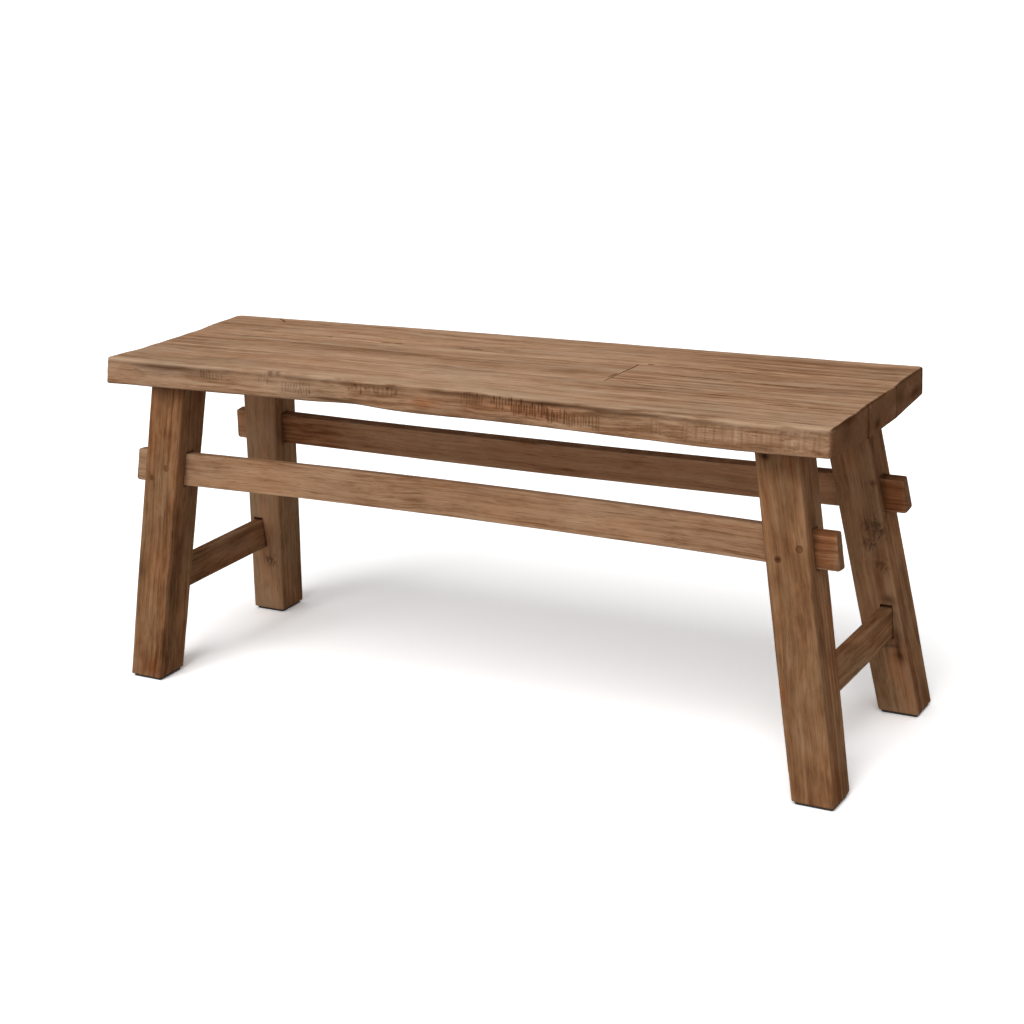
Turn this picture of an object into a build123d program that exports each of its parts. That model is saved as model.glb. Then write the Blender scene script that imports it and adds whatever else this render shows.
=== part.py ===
from build123d import *
from itertools import product
import math
import os

os.makedirs("parts", exist_ok=True)

# A rustic bench: a plank seat with a live front edge on four splayed posts, two long rails
# that run through the legs and are pegged there, and a stretcher low down at each end.
# Millimetres. X runs along the bench, Y to its back, Z up from the floor at the footprint's middle.

# Seat, glued up from three widths of board that thin out below towards the front and the back
seat_height = 460           # floor to the top of the seat
seat_length = 1048
seat_shift = 3              # the seat's middle is this far to the right of the legs' middle
seat_back_reach = 148       # middle of the bench to the back edge of the seat, at its right end
back_edge_taper = 10        # the back board is this much narrower at its left end
seat_middle_thickness = 42
seat_edge_thickness = 35
back_board_width = 98
middle_board_width = 95
front_board_width = 100     # to the mean line of the live edge
butt_joint_offset = 184     # the middle board is in two pieces, which meet this far to the right
live_edge_wave = 16         # the live edge wanders this far from its mean line
front_corner_flare = 15.5   # the front board's left end runs out this far at its corner
seat_arris_round = 4
seat_under_round = 2.5
seat_corner_round = 8

# The live edge from left to right: share of half the seat's length, share of the wave (+ is proud)
live_edge_shares = (
    (-1.00, -0.30), (-0.86, -0.05), (-0.60, -0.60), (-0.40, -0.75), (-0.20, -0.35),
    (0.10, -0.35), (0.30, -0.05), (0.55, 0.55), (0.80, 1.00), (1.00, 0.70),
)

# Legs: square posts, sheared both ways, so every level section is the same rectangle
leg_width = 54              # along the bench
leg_depth = 52              # front to back
seat_end_overhang = 52      # seat's end to the leg's outer face, level with the seat's lower edge
seat_back_overhang = 22.5   # the same at the back
leg_spread_x = 60           # the foot stands this far out from there, along the bench
leg_spread_y = 46           # and across it
leg_arris_round = 3
foot_chamfer = 2
leg_tenon_width = 34
leg_tenon_depth = 30
leg_tenon_length = 20       # above the seat's lower edge

# Long rails: thin boards in the plane of their two legs, through both legs and out
rail_level = 302
rail_height = 45
rail_thickness = 15
rail_proud = 29.5           # the through tenon stands this far out of the leg, at mid height
front_rail_crook = 4.5      # natural bend of the board, upwards at mid length
back_rail_crook = -2.5
rail_lower_corner_round = 5
rail_upper_corner_round = 2
rail_arris_round = 1.2

# End stretchers: upright boards, blind in the legs
stretcher_level = 132
stretcher_height = 43
stretcher_thickness = 16
stretcher_outset = 8        # from the leg's middle towards its outer face
stretcher_tenon_length = 32
stretcher_arris_round = 1.2
stretcher_slack_above = 3   # the mortise is cut this much too tall

# Pegs through the rail tenons, two in each leg, driven from the outer face
peg_diameter = 9
peg_proud = 0.8
peg_end_cover = 8.5         # wood left between the peg's end and the leg's inner face
peg_half_pitch = 13
peg_half_stagger = 7.5      # the left peg of a pair sits low, the right one high
peg_pair_outset = 3
peg_pair_drop = 4.5
peg_chamfer = 0.6

# Dowels hidden in the seat, those in the long seams all between the legs' tenons
dowel_diameter = 10
dowel_to_tenon = 7
seam_dowel_length = 44
butt_dowel_length = 60
butt_dowel_spacing = 46
dowel_chamfer = 1
long_piece_dowels = 4
short_piece_dowels = 2

# Foot pads
pad_thickness = 3
pad_inset = 3
pad_corner_round = 3

# Clearances
joint_fit = 0.2             # round a tenon, each side
round_fit = 0.15            # round a peg or a dowel
blind_gap = 1               # past the end of a blind tenon, peg or dowel
cut_overrun = 5             # a cut runs this far past the face that it opens

# Lines and levels that follow from the sizes
seat_left = seat_shift - seat_length / 2
seat_right = seat_shift + seat_length / 2
back_seam = seat_back_reach - back_board_width
front_seam = back_seam - middle_board_width
front_edge_mean = front_seam - front_board_width
middle_board_centre = front_seam + middle_board_width / 2
middle_underside = seat_height - seat_middle_thickness
edge_underside = seat_height - seat_edge_thickness
lowest_underside = min(middle_underside, edge_underside)
dowel_level = middle_underside + seat_middle_thickness / 2
leg_top_reach_x = seat_length / 2 - seat_end_overhang
leg_top_reach_y = seat_back_reach - seat_back_overhang
leg_rise = edge_underside - pad_thickness
splay_x = leg_spread_x / leg_rise
splay_y = leg_spread_y / leg_rise
lean = math.atan(splay_y)


def leg_middle(level):
    """Distance of the leg's middle from the bench's middle, along and across, at a level."""
    drop = edge_underside - level
    along = leg_top_reach_x + drop * splay_x - leg_width / 2
    across = leg_top_reach_y + drop * splay_y - leg_depth / 2
    return along, across


def leg_plane(side_x, side_y, level):
    """Level plane centred on a leg."""
    along, across = leg_middle(level)
    return Plane(origin=(side_x * along, side_y * across, level))


def under_plane(side_y):
    """Underside of the front or the back board, which rises from its seam to its outer edge."""
    rise = middle_underside - edge_underside
    if side_y < 0:
        seam, width = front_seam, front_board_width
    else:
        seam, width = back_seam, back_board_width
    return Plane(origin=(0, seam, middle_underside), x_dir=(1, 0, 0), z_dir=(0, side_y * rise, width))


def rail_plane(side_y):
    """Plane through the middle of two legs: x along the bench, y up the legs, z to the front."""
    across = leg_middle(rail_level)[1]
    return Plane(
        origin=(0, side_y * across, rail_level),
        x_dir=(1, 0, 0),
        z_dir=(0, -math.cos(lean), -side_y * math.sin(lean)),
    )


def peg_plane(side_y):
    """The legs' outer face, raised by what the pegs stand proud."""
    outward = leg_depth / 2 * math.cos(lean) + peg_proud
    return rail_plane(side_y).offset(-side_y * outward)


def seam_plane(seam):
    """Upright plane on a seam of the seat."""
    return Plane(origin=(0, seam, dowel_level), x_dir=(1, 0, 0), z_dir=(0, 1, 0))


def spread(start, end, count):
    """Even stations between two ends, half a step in from each."""
    step = (end - start) / count
    return [start + (index + 0.5) * step for index in range(count)]


def save(builder, name):
    builder.part.label = name
    export_step(builder.part, f"parts/{name}.step")


def peg_places(side_x):
    """The two pegs of a leg on its face, the left one low and the right one high."""
    pair_along = side_x * (leg_middle(rail_level)[0] + peg_pair_outset)
    return [
        (pair_along - peg_half_pitch, -peg_half_stagger - peg_pair_drop),
        (pair_along + peg_half_pitch, peg_half_stagger - peg_pair_drop),
    ]


def stretcher_plane(side_x):
    """Upright plane across the middle of an end stretcher: x along the bench, y up."""
    along = leg_middle(stretcher_level)[0] + stretcher_outset
    return Plane(origin=(side_x * along, 0, stretcher_level), x_dir=(1, 0, 0), z_dir=(0, -1, 0))


butt_plane = Plane(
    origin=(butt_joint_offset, middle_board_centre, dowel_level), x_dir=(0, 1, 0), z_dir=(1, 0, 0)
)
butt_places = [(-butt_dowel_spacing / 2, 0), (butt_dowel_spacing / 2, 0)]
seam_reach = leg_top_reach_x - (leg_width + leg_tenon_width + dowel_diameter) / 2 - dowel_to_tenon
seam_places = [
    (station, 0)
    for station in spread(-seam_reach, butt_joint_offset, long_piece_dowels)
    + spread(butt_joint_offset, seam_reach, short_piece_dowels)
]
tenon_top = edge_underside + leg_tenon_length
bend_reach = leg_middle(rail_level)[0] - leg_width / 2
rail_reach = leg_middle(rail_level)[0] + leg_width / 2 + rail_proud
stretcher_reach = leg_middle(stretcher_level)[1] - leg_depth / 2 + stretcher_tenon_length
peg_length = leg_depth * math.cos(lean) + peg_proud - peg_end_cover


def rectangle_loft(side_x, side_y, low, high, width, depth, mode):
    """A sheared block in line with a leg, between two levels."""
    with BuildSketch(leg_plane(side_x, side_y, low)) as lower:
        Rectangle(width, depth)
    with BuildSketch(leg_plane(side_x, side_y, high)) as upper:
        Rectangle(width, depth)
    loft([lower.sketch, upper.sketch], mode=mode)


def cut_leg_mortise(side_x, side_y):
    """The blind mortise for a leg's tenon, in the seat board above it."""
    rectangle_loft(
        side_x,
        side_y,
        lowest_underside - cut_overrun,
        tenon_top + blind_gap,
        leg_tenon_width + 2 * joint_fit,
        leg_tenon_depth + 2 * joint_fit,
        Mode.SUBTRACT,
    )


def ease_edges(board, side_y):
    """Rounds a seat board's upper and lower edges, all but the two at its seam."""
    for face_place, radius in ((-1, seat_arris_round), (0, seat_under_round)):
        edges = board.faces().sort_by(Axis.Z)[face_place].edges().sort_by(Axis.Y)
        fillet(edges[:-1] if side_y < 0 else edges[1:], radius)


def drill_holes(plane, places, diameter, depth, both):
    """Round holes at places on a plane, a little wider and deeper than what goes in them."""
    reach = math.copysign(abs(depth) + blind_gap, depth)
    with BuildSketch(plane) as holes:
        with Locations(*places):
            Circle(diameter / 2 + round_fit)
    extrude(holes.sketch, amount=reach, both=both, mode=Mode.SUBTRACT)


def drill_seam(seam):
    """Dowel holes along a seam of the seat."""
    drill_holes(seam_plane(seam), seam_places, dowel_diameter, seam_dowel_length / 2, True)


def drill_butt_joint():
    """Dowel holes across the butt joint of the middle board."""
    drill_holes(butt_plane, butt_places, dowel_diameter, butt_dowel_length / 2, True)


def drill_peg_holes(side_x, side_y):
    """Holes for the two pegs of a leg."""
    drill_holes(peg_plane(side_y), peg_places(side_x), peg_diameter, side_y * peg_length, False)


# Front board: straight at the seam, wandering at the live edge, its left corner flared
live_edge_points = [
    (seat_shift + along * seat_length / 2, front_edge_mean - proud * live_edge_wave)
    for along, proud in live_edge_shares
]
live_edge_points[0] = (seat_left - front_corner_flare, live_edge_points[0][1])
with BuildPart() as seat_front_board:
    with BuildSketch(Plane.XY.offset(lowest_underside)):
        with BuildLine():
            seam_line = Line((seat_left, front_seam), (seat_right, front_seam))
            Line(seam_line @ 1, live_edge_points[-1])
            Spline(*live_edge_points)
            Line(live_edge_points[0], seam_line @ 0)
        make_face()
    extrude(amount=seat_height - lowest_underside)
    front_corners = seat_front_board.edges().filter_by(Axis.Z).sort_by(Axis.Y)[:2]
    fillet(front_corners, seat_corner_round)
    split(bisect_by=under_plane(-1), keep=Keep.TOP)
    ease_edges(seat_front_board, -1)
    for side_x in (-1, 1):
        cut_leg_mortise(side_x, -1)
    drill_seam(front_seam)
save(seat_front_board, "seat_front_board")

# Middle board, in two pieces that meet end to end
for name, start, end, outer in (
    ("seat_middle_board_long", seat_left, butt_joint_offset, 0),
    ("seat_middle_board_short", butt_joint_offset, seat_right, -1),
):
    with BuildPart() as board:
        with BuildSketch(Plane(origin=((start + end) / 2, middle_board_centre, middle_underside))):
            Rectangle(end - start, middle_board_width)
        extrude(amount=seat_middle_thickness)
        fillet(board.faces().sort_by(Axis.X)[outer].edges().sort_by(Axis.Z)[-1], seat_arris_round)
        fillet(board.faces().sort_by(Axis.X)[outer].edges().sort_by(Axis.Z)[0], seat_under_round)
        # In a shallower seat the legs' tenons reach these boards too
        for side_x, side_y in product((-1, 1), repeat=2):
            cut_leg_mortise(side_x, side_y)
        drill_seam(front_seam)
        drill_seam(back_seam)
        drill_butt_joint()
    save(board, name)

# Back board, straight on both sides and a little narrower to the left
with BuildPart() as seat_back_board:
    with BuildSketch(Plane.XY.offset(lowest_underside)):
        with BuildLine():
            Polyline(
                (seat_left, back_seam),
                (seat_right, back_seam),
                (seat_right, seat_back_reach),
                (seat_left, seat_back_reach - back_edge_taper),
                close=True,
            )
        make_face()
    extrude(amount=seat_height - lowest_underside)
    back_corners = seat_back_board.edges().filter_by(Axis.Z).sort_by(Axis.Y)[-2:]
    fillet(back_corners, seat_corner_round)
    split(bisect_by=under_plane(1), keep=Keep.TOP)
    ease_edges(seat_back_board, 1)
    for side_x in (-1, 1):
        cut_leg_mortise(side_x, 1)
    drill_seam(back_seam)
save(seat_back_board, "seat_back_board")

# Dowels, one group for each joint of the seat
for name, plane, places, length in (
    ("seat_dowels_front_seam", seam_plane(front_seam), seam_places, seam_dowel_length),
    ("seat_dowels_back_seam", seam_plane(back_seam), seam_places, seam_dowel_length),
    ("seat_dowels_butt_joint", butt_plane, butt_places, butt_dowel_length),
):
    with BuildPart() as dowels:
        with BuildSketch(plane):
            with Locations(*places):
                Circle(dowel_diameter / 2)
        extrude(amount=length / 2, both=True)
        chamfer(dowels.edges().filter_by(GeomType.CIRCLE), dowel_chamfer)
    save(dowels, name)

corners = (
    ("front_left", -1, -1),
    ("front_right", 1, -1),
    ("back_left", -1, 1),
    ("back_right", 1, 1),
)

# Legs, each with a tenon on top and mortises for its rail and its stretcher
for name, side_x, side_y in corners:
    with BuildPart() as leg:
        rectangle_loft(
            side_x,
            side_y,
            pad_thickness,
            max(middle_underside, edge_underside) + cut_overrun,
            leg_width,
            leg_depth,
            Mode.ADD,
        )
        fillet(leg.edges().group_by(Axis.Z)[1], leg_arris_round)
        chamfer(leg.faces().sort_by(Axis.Z)[0].edges(), foot_chamfer)
        split(bisect_by=under_plane(side_y), keep=Keep.BOTTOM)
        rectangle_loft(
            side_x,
            side_y,
            lowest_underside - cut_overrun,
            tenon_top,
            leg_tenon_width,
            leg_tenon_depth,
            Mode.ADD,
        )
        with BuildSketch(rail_plane(side_y)):
            Rectangle(2 * (rail_reach + cut_overrun), rail_height + 2 * joint_fit)
        extrude(amount=rail_thickness / 2 + joint_fit, both=True, mode=Mode.SUBTRACT)
        drill_peg_holes(side_x, side_y)
        # The stretcher's mortise is blind, and slack above
        with BuildSketch(stretcher_plane(side_x)):
            with Locations((0, stretcher_slack_above / 2)):
                Rectangle(
                    stretcher_thickness + 2 * joint_fit,
                    stretcher_height + 2 * joint_fit + stretcher_slack_above,
                )
        extrude(amount=stretcher_reach + blind_gap, both=True, mode=Mode.SUBTRACT)
    save(leg, f"leg_{name}")

# Long rails: a slight crook between the legs, ends cut to the legs' splay and corners eased
half_height = rail_height / 2
end_slant = half_height * math.cos(lean) * splay_x
for name, side_y, crook in (
    ("rail_front", -1, front_rail_crook),
    ("rail_back", 1, back_rail_crook),
):
    with BuildPart() as rail:
        with BuildSketch(rail_plane(side_y)) as profile:
            with BuildLine():
                Line((-rail_reach + end_slant, half_height), (-bend_reach, half_height))
                ThreePointArc(
                    (-bend_reach, half_height), (0, half_height + crook), (bend_reach, half_height)
                )
                Line((bend_reach, half_height), (rail_reach - end_slant, half_height))
                Line((rail_reach - end_slant, half_height), (rail_reach + end_slant, -half_height))
                Line((rail_reach + end_slant, -half_height), (bend_reach, -half_height))
                ThreePointArc(
                    (bend_reach, -half_height), (0, crook - half_height), (-bend_reach, -half_height)
                )
                Line((-bend_reach, -half_height), (-rail_reach - end_slant, -half_height))
                Line((-rail_reach - end_slant, -half_height), (-rail_reach + end_slant, half_height))
            make_face()
            corners_below = profile.vertices().filter_by(lambda v: v.Y < 0).sort_by(Axis.X)
            fillet([corners_below[0], corners_below[-1]], rail_lower_corner_round)
            corners_above = profile.vertices().filter_by(lambda v: v.Y > 0).sort_by(Axis.X)
            fillet([corners_above[0], corners_above[-1]], rail_upper_corner_round)
        extrude(amount=rail_thickness / 2, both=True)
        sides = rail.faces().sort_by(Axis.Y)
        fillet(sides[0].edges() + sides[-1].edges(), rail_arris_round)
        for side_x in (-1, 1):
            drill_peg_holes(side_x, side_y)
    save(rail, name)

# Pegs through the legs and the rails' tenons
for name, side_x, side_y in corners:
    with BuildPart() as pegs:
        with BuildSketch(peg_plane(side_y)):
            with Locations(*peg_places(side_x)):
                Circle(peg_diameter / 2)
        extrude(amount=side_y * peg_length)
        chamfer(pegs.edges().filter_by(GeomType.CIRCLE), peg_chamfer)
    save(pegs, f"rail_pegs_{name}")

# End stretchers
for name, side_x in (("stretcher_left", -1), ("stretcher_right", 1)):
    with BuildPart() as stretcher:
        with BuildSketch(stretcher_plane(side_x)):
            Rectangle(stretcher_thickness, stretcher_height)
        extrude(amount=stretcher_reach, both=True)
        fillet(stretcher.edges().filter_by(Axis.Y), stretcher_arris_round)
    save(stretcher, name)

# Pads under the feet
foot_along, foot_across = leg_middle(pad_thickness)
for name, side_x, side_y in corners:
    with BuildPart() as pad:
        with BuildSketch(Plane(origin=(side_x * foot_along, side_y * foot_across, 0))):
            RectangleRounded(leg_width - 2 * pad_inset, leg_depth - 2 * pad_inset, pad_corner_round)
        extrude(amount=pad_thickness)
    save(pad, f"foot_pad_{name}")
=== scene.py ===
import math

import bmesh
import bpy
import numpy as np
from mathutils import Matrix, Vector


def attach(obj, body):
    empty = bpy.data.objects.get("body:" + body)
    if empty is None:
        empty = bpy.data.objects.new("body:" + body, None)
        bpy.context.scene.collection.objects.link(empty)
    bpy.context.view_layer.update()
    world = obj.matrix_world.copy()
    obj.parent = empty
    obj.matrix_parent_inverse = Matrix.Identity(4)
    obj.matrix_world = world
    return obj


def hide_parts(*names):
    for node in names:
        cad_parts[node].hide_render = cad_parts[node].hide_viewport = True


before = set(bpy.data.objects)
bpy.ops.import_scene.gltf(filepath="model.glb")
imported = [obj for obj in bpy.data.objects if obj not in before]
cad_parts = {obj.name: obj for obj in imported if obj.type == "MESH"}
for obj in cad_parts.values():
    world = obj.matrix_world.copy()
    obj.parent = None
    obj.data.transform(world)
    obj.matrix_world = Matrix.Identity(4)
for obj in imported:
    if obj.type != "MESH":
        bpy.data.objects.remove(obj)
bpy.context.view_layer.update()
mm = 0.001
squareCorners = ((-1, -1), (1, -1), (1, 1), (-1, 1))


# Camera and light

cameraSet = {
    "place": (1.311119, -2.140401, 1.067287),
    "yaw": 31.2153,
    "pitch": -17.9559,
    "roll": -3.3178,
    "lens": 69.9285,
    "sensor": 36,
    "farthest": 50,
}

studio = {
    # strength, angle across, degrees to the right of straight in front, degrees up
    "keyLight": (1.6, 40, 4, 54),
    "fillLight": (0.6, 50, -10, 8),
    "worldStrength": 0.42,
    "floorSize": 40,
    "floorSeen": 1.6,        # what the camera sees, so that only the shadow is grey
    "floorBounce": 0.42,
}


def placeObject(name, data):
    placed = bpy.data.objects.new(name, data)
    bpy.context.scene.collection.objects.link(placed)
    return placed


def makeCamera(values):
    yaw, pitch, roll = (math.radians(values[key]) for key in ("yaw", "pitch", "roll"))
    forward = Vector((-math.sin(yaw) * math.cos(pitch), math.cos(yaw) * math.cos(pitch), math.sin(pitch)))
    level = Vector((math.cos(yaw), math.sin(yaw), 0))
    upward = level.cross(forward)
    right = math.cos(roll) * level + math.sin(roll) * upward
    top = math.cos(roll) * upward - math.sin(roll) * level
    data = bpy.data.cameras.new("photoCamera")
    data.sensor_width = values["sensor"]
    data.lens = values["lens"]
    data.clip_end = values["farthest"]
    camera = placeObject("photoCamera", data)
    turn = Matrix((right, top, -forward)).transposed()
    camera.matrix_world = Matrix.Translation(values["place"]) @ turn.to_4x4()
    bpy.context.scene.camera = camera


def feed(tree, socket, value):
    if isinstance(value, bpy.types.NodeSocket):
        tree.links.new(value, socket)
    elif value is not None:
        socket.default_value = value


def feedAll(tree, node, inputs):
    for key, value in inputs.items():
        feed(tree, node.inputs[key], value)


def addNode(tree, kind, inputs=None, **values):
    node = tree.nodes.new(kind)
    for key, value in values.items():
        setattr(node, key, value)
    feedAll(tree, node, inputs or {})
    return node


def maths(tree, operation, first, second=None, third=None, clamp=False):
    inputs = {0: first, 1: second, 2: third}
    return addNode(tree, "ShaderNodeMath", inputs, operation=operation, use_clamp=clamp).outputs[0]


def vectorMaths(tree, operation, first, second=None):
    node = addNode(tree, "ShaderNodeVectorMath", {0: first, 1: second}, operation=operation)
    return node.outputs["Value" if operation in ("LENGTH", "DOT_PRODUCT") else "Vector"]


def joinVector(tree, **parts):
    return addNode(tree, "ShaderNodeCombineXYZ", parts).outputs[0]


def mixColours(tree, share, first, second, blend="MIX"):
    node = addNode(tree, "ShaderNodeMix", {"Factor": share}, data_type="RGBA", blend_type=blend)
    sockets = [socket for socket in node.inputs if socket.type == "RGBA"]
    for socket, colour in zip(sockets, (first, second)):
        feed(tree, socket, colour + (1,) if isinstance(colour, tuple) else colour)
    return next(socket for socket in node.outputs if socket.type == "RGBA")


def ranged(tree, value, low, high, newLow=0.0, newHigh=1.0, smooth=True):
    inputs = {"Value": value, "From Min": low, "From Max": high, "To Min": newLow, "To Max": newHigh}
    kind = "SMOOTHSTEP" if smooth else "LINEAR"
    return addNode(tree, "ShaderNodeMapRange", inputs, interpolation_type=kind).outputs["Result"]


def noiseAt(tree, place, cells, detail=3.0, roughness=0.55, warp=0.0, output=0):
    scaled = vectorMaths(tree, "MULTIPLY", place, cells)
    inputs = {"Vector": scaled, "Scale": 1.0, "Detail": detail, "Roughness": roughness, "Distortion": warp}
    return addNode(tree, "ShaderNodeTexNoise", inputs, noise_dimensions="3D").outputs[output]


def attribute(tree, name, output="Fac"):
    return addNode(tree, "ShaderNodeAttribute", attribute_name=name).outputs[output]


def objectPlace(tree):
    return addNode(tree, "ShaderNodeTexCoord").outputs["Object"]


def newMaterial(name):
    material = bpy.data.materials.new(name)
    material.use_nodes = True
    tree = material.node_tree
    return material, tree, tree.nodes["Principled BSDF"]


def seenShare(tree):
    path = addNode(tree, "ShaderNodeLightPath")
    share = maths(tree, "MAXIMUM", path.outputs["Is Camera Ray"], path.outputs["Is Glossy Ray"])
    return maths(tree, "MAXIMUM", share, path.outputs["Is Transmission Ray"])


def makeStudio(values):
    world = bpy.data.worlds.new("studioWorld")
    world.use_nodes = True
    tree = world.node_tree
    level = ranged(tree, seenShare(tree), 0, 1, values["worldStrength"], 1.0, smooth=False)
    feedAll(tree, tree.nodes["Background"], {"Color": (1, 1, 1, 1), "Strength": level})
    bpy.context.scene.world = world

    for name in ("keyLight", "fillLight"):
        strength, across, turn, height = values[name]
        lamp = bpy.data.lights.new(name, "SUN")
        lamp.energy = strength
        lamp.angle = math.radians(across)
        turn, height = math.radians(turn), math.radians(height)
        flat = math.cos(height)
        source = Vector((math.sin(turn) * flat, -math.cos(turn) * flat, math.sin(height)))
        placeObject(name, lamp).rotation_euler = source.to_track_quat("Z", "Y").to_euler()

    half = values["floorSize"] / 2
    mesh = bpy.data.meshes.new("studioFloor")
    mesh.from_pydata([(x * half, y * half, 0) for x, y in squareCorners], [], [(0, 1, 2, 3)])
    floor = placeObject("studioFloor", mesh)
    material, tree, shader = newMaterial("paleFloor")
    tree.nodes.remove(shader)
    seen, bounce = values["floorSeen"], values["floorBounce"]
    colour = mixColours(tree, seenShare(tree), (bounce,) * 3, (seen,) * 3)
    diffuse = addNode(tree, "ShaderNodeBsdfDiffuse", {"Color": colour})
    tree.links.new(diffuse.outputs[0], tree.nodes["Material Output"].inputs["Surface"])
    mesh.materials.append(material)


bpy.context.scene.view_settings.view_transform = "Standard"
makeCamera(cameraSet)
makeStudio(studio)
print("camera and studio ready")


# Wood finishes

socketKinds = {float: "NodeSocketFloat", int: "NodeSocketInt", tuple: "NodeSocketVector"}
anyPlace = (0, 0, 0)


def addInputs(tree, inputs):
    # One input for each name, of the kind of its first value
    identifiers = {}
    for label, value in inputs.items():
        socket = tree.interface.new_socket(name=label, in_out="INPUT", socket_type=socketKinds[type(value)])
        socket.default_value = value
        identifiers[label] = socket.identifier
    return identifiers


def newGroup(name, inputs, outputs):
    tree = bpy.data.node_groups.new(name, "ShaderNodeTree")
    addInputs(tree, inputs)
    for label in outputs:
        tree.interface.new_socket(name=label, in_out="OUTPUT", socket_type="NodeSocketFloat")
    return tree, addNode(tree, "NodeGroupInput"), addNode(tree, "NodeGroupOutput")


def useGroup(tree, group, inputs):
    return addNode(tree, "ShaderNodeGroup", inputs, node_tree=group)


def makeWoodFigure():
    # Growth rings round a pith line, bands, long streaks, fine fibre, flecks and cloudy patches
    inputs = {"Grain": anyPlace, "Ring": 0.5, "Streak": 0.5, "Fibre": 0.3, "Patch": 0.3, "Ring width": 0.004}
    tree, given, result = newGroup("woodFigure", inputs, ("Tone", "Warmth", "Pores", "Height"))
    grain = given.outputs["Grain"]
    # The fibres wander a little, so no streak runs dead straight
    for cells, reach in (((4, 6, 6), 0.02), ((17, 20, 20), 0.004)):
        wander = noiseAt(tree, grain, cells, 1.0, 0.5, output="Color")
        shift = vectorMaths(tree, "SUBTRACT", wander, (0.5, 0.5, 0.5))
        grain = vectorMaths(tree, "ADD", grain, vectorMaths(tree, "MULTIPLY", shift, (0, reach, reach)))

    def swing(cells, detail=2.0, roughness=0.5, warp=0.0):
        return maths(tree, "SUBTRACT", noiseAt(tree, grain, cells, detail, roughness, warp), 0.5)

    across = vectorMaths(tree, "LENGTH", vectorMaths(tree, "MULTIPLY", grain, (0, 1, 1)))
    spread = maths(tree, "DIVIDE", across, given.outputs["Ring width"])
    inputs = {"W": spread, "Scale": 1.0, "Detail": 2.5, "Roughness": 0.6}
    rings = addNode(tree, "ShaderNodeTexNoise", inputs, noise_dimensions="1D")
    ring = maths(tree, "SUBTRACT", rings.outputs[0], 0.5)
    streak = maths(tree, "MULTIPLY_ADD", swing((1.1, 26, 26), 3), 0.25, swing((2.6, 95, 95), 4, 0.65, 0.15))
    streak = maths(tree, "MULTIPLY_ADD", swing((2, 210, 210), 3), 0.55, streak)
    fibre = maths(tree, "MULTIPLY_ADD", swing((9, 260, 260), 2), 0.8, swing((16, 620, 620), 3, 0.6))
    patch = maths(tree, "MULTIPLY_ADD", swing((5, 15, 15)), 0.8, swing((24, 52, 52), 3, 0.6))
    tone = 0.5
    for key, figure in (("Ring", ring), ("Streak", streak), ("Fibre", fibre), ("Patch", patch)):
        tone = maths(tree, "MULTIPLY_ADD", figure, given.outputs[key], tone)
    fleck = ranged(tree, noiseAt(tree, grain, (11, 210, 210), 2), 0.62, 0.74)
    tone = maths(tree, "MULTIPLY_ADD", fleck, -0.12, tone)
    warmth = ranged(tree, noiseAt(tree, grain, (7, 22, 22)), 0.3, 0.7)
    pores = ranged(tree, noiseAt(tree, grain, (38, 1100, 1100), 1, 0.5), 0.6, 0.7)
    height = maths(tree, "MULTIPLY_ADD", fibre, 0.6, tone)
    height = maths(tree, "MULTIPLY_ADD", pores, -0.35, height)
    feedAll(tree, result, {"Tone": tone, "Warmth": warmth, "Pores": pores, "Height": height})
    return tree


def makeGrainLine():
    # A dark line of given width between two points of the piece
    inputs = {"Place": anyPlace, "Start": anyPlace, "End": anyPlace, "Width": 0.001}
    tree, given, result = newGroup("grainLine", inputs, ("Mask",))
    place, start, end, width = (given.outputs[key] for key in inputs)
    wobble = maths(tree, "SUBTRACT", noiseAt(tree, place, (22, 22, 22), 2, 0.5), 0.5)
    place = vectorMaths(tree, "ADD", place, joinVector(tree, Y=maths(tree, "MULTIPLY", wobble, 0.004)))
    run = vectorMaths(tree, "SUBTRACT", end, start)
    reach = vectorMaths(tree, "SUBTRACT", place, start)
    share = vectorMaths(tree, "DOT_PRODUCT", reach, run)
    share = maths(tree, "DIVIDE", share, vectorMaths(tree, "DOT_PRODUCT", run, run), clamp=True)
    along = addNode(tree, "ShaderNodeVectorMath", {0: run, "Scale": share}, operation="SCALE")
    distance = vectorMaths(tree, "LENGTH", vectorMaths(tree, "SUBTRACT", reach, along.outputs[0]))
    thin = maths(tree, "MULTIPLY", share, maths(tree, "SUBTRACT", 1.0, share))
    width = maths(tree, "MULTIPLY", width, ranged(tree, thin, 0, 0.12, 0.25, 1.0))
    rough = ranged(tree, noiseAt(tree, place, (60, 60, 60), 2), 0.3, 0.6, 0.3, 1.2)
    width = maths(tree, "MULTIPLY", width, rough)
    feedAll(tree, result, {"Mask": ranged(tree, maths(tree, "DIVIDE", distance, width), 1.0, 0.35)})
    return tree


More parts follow.
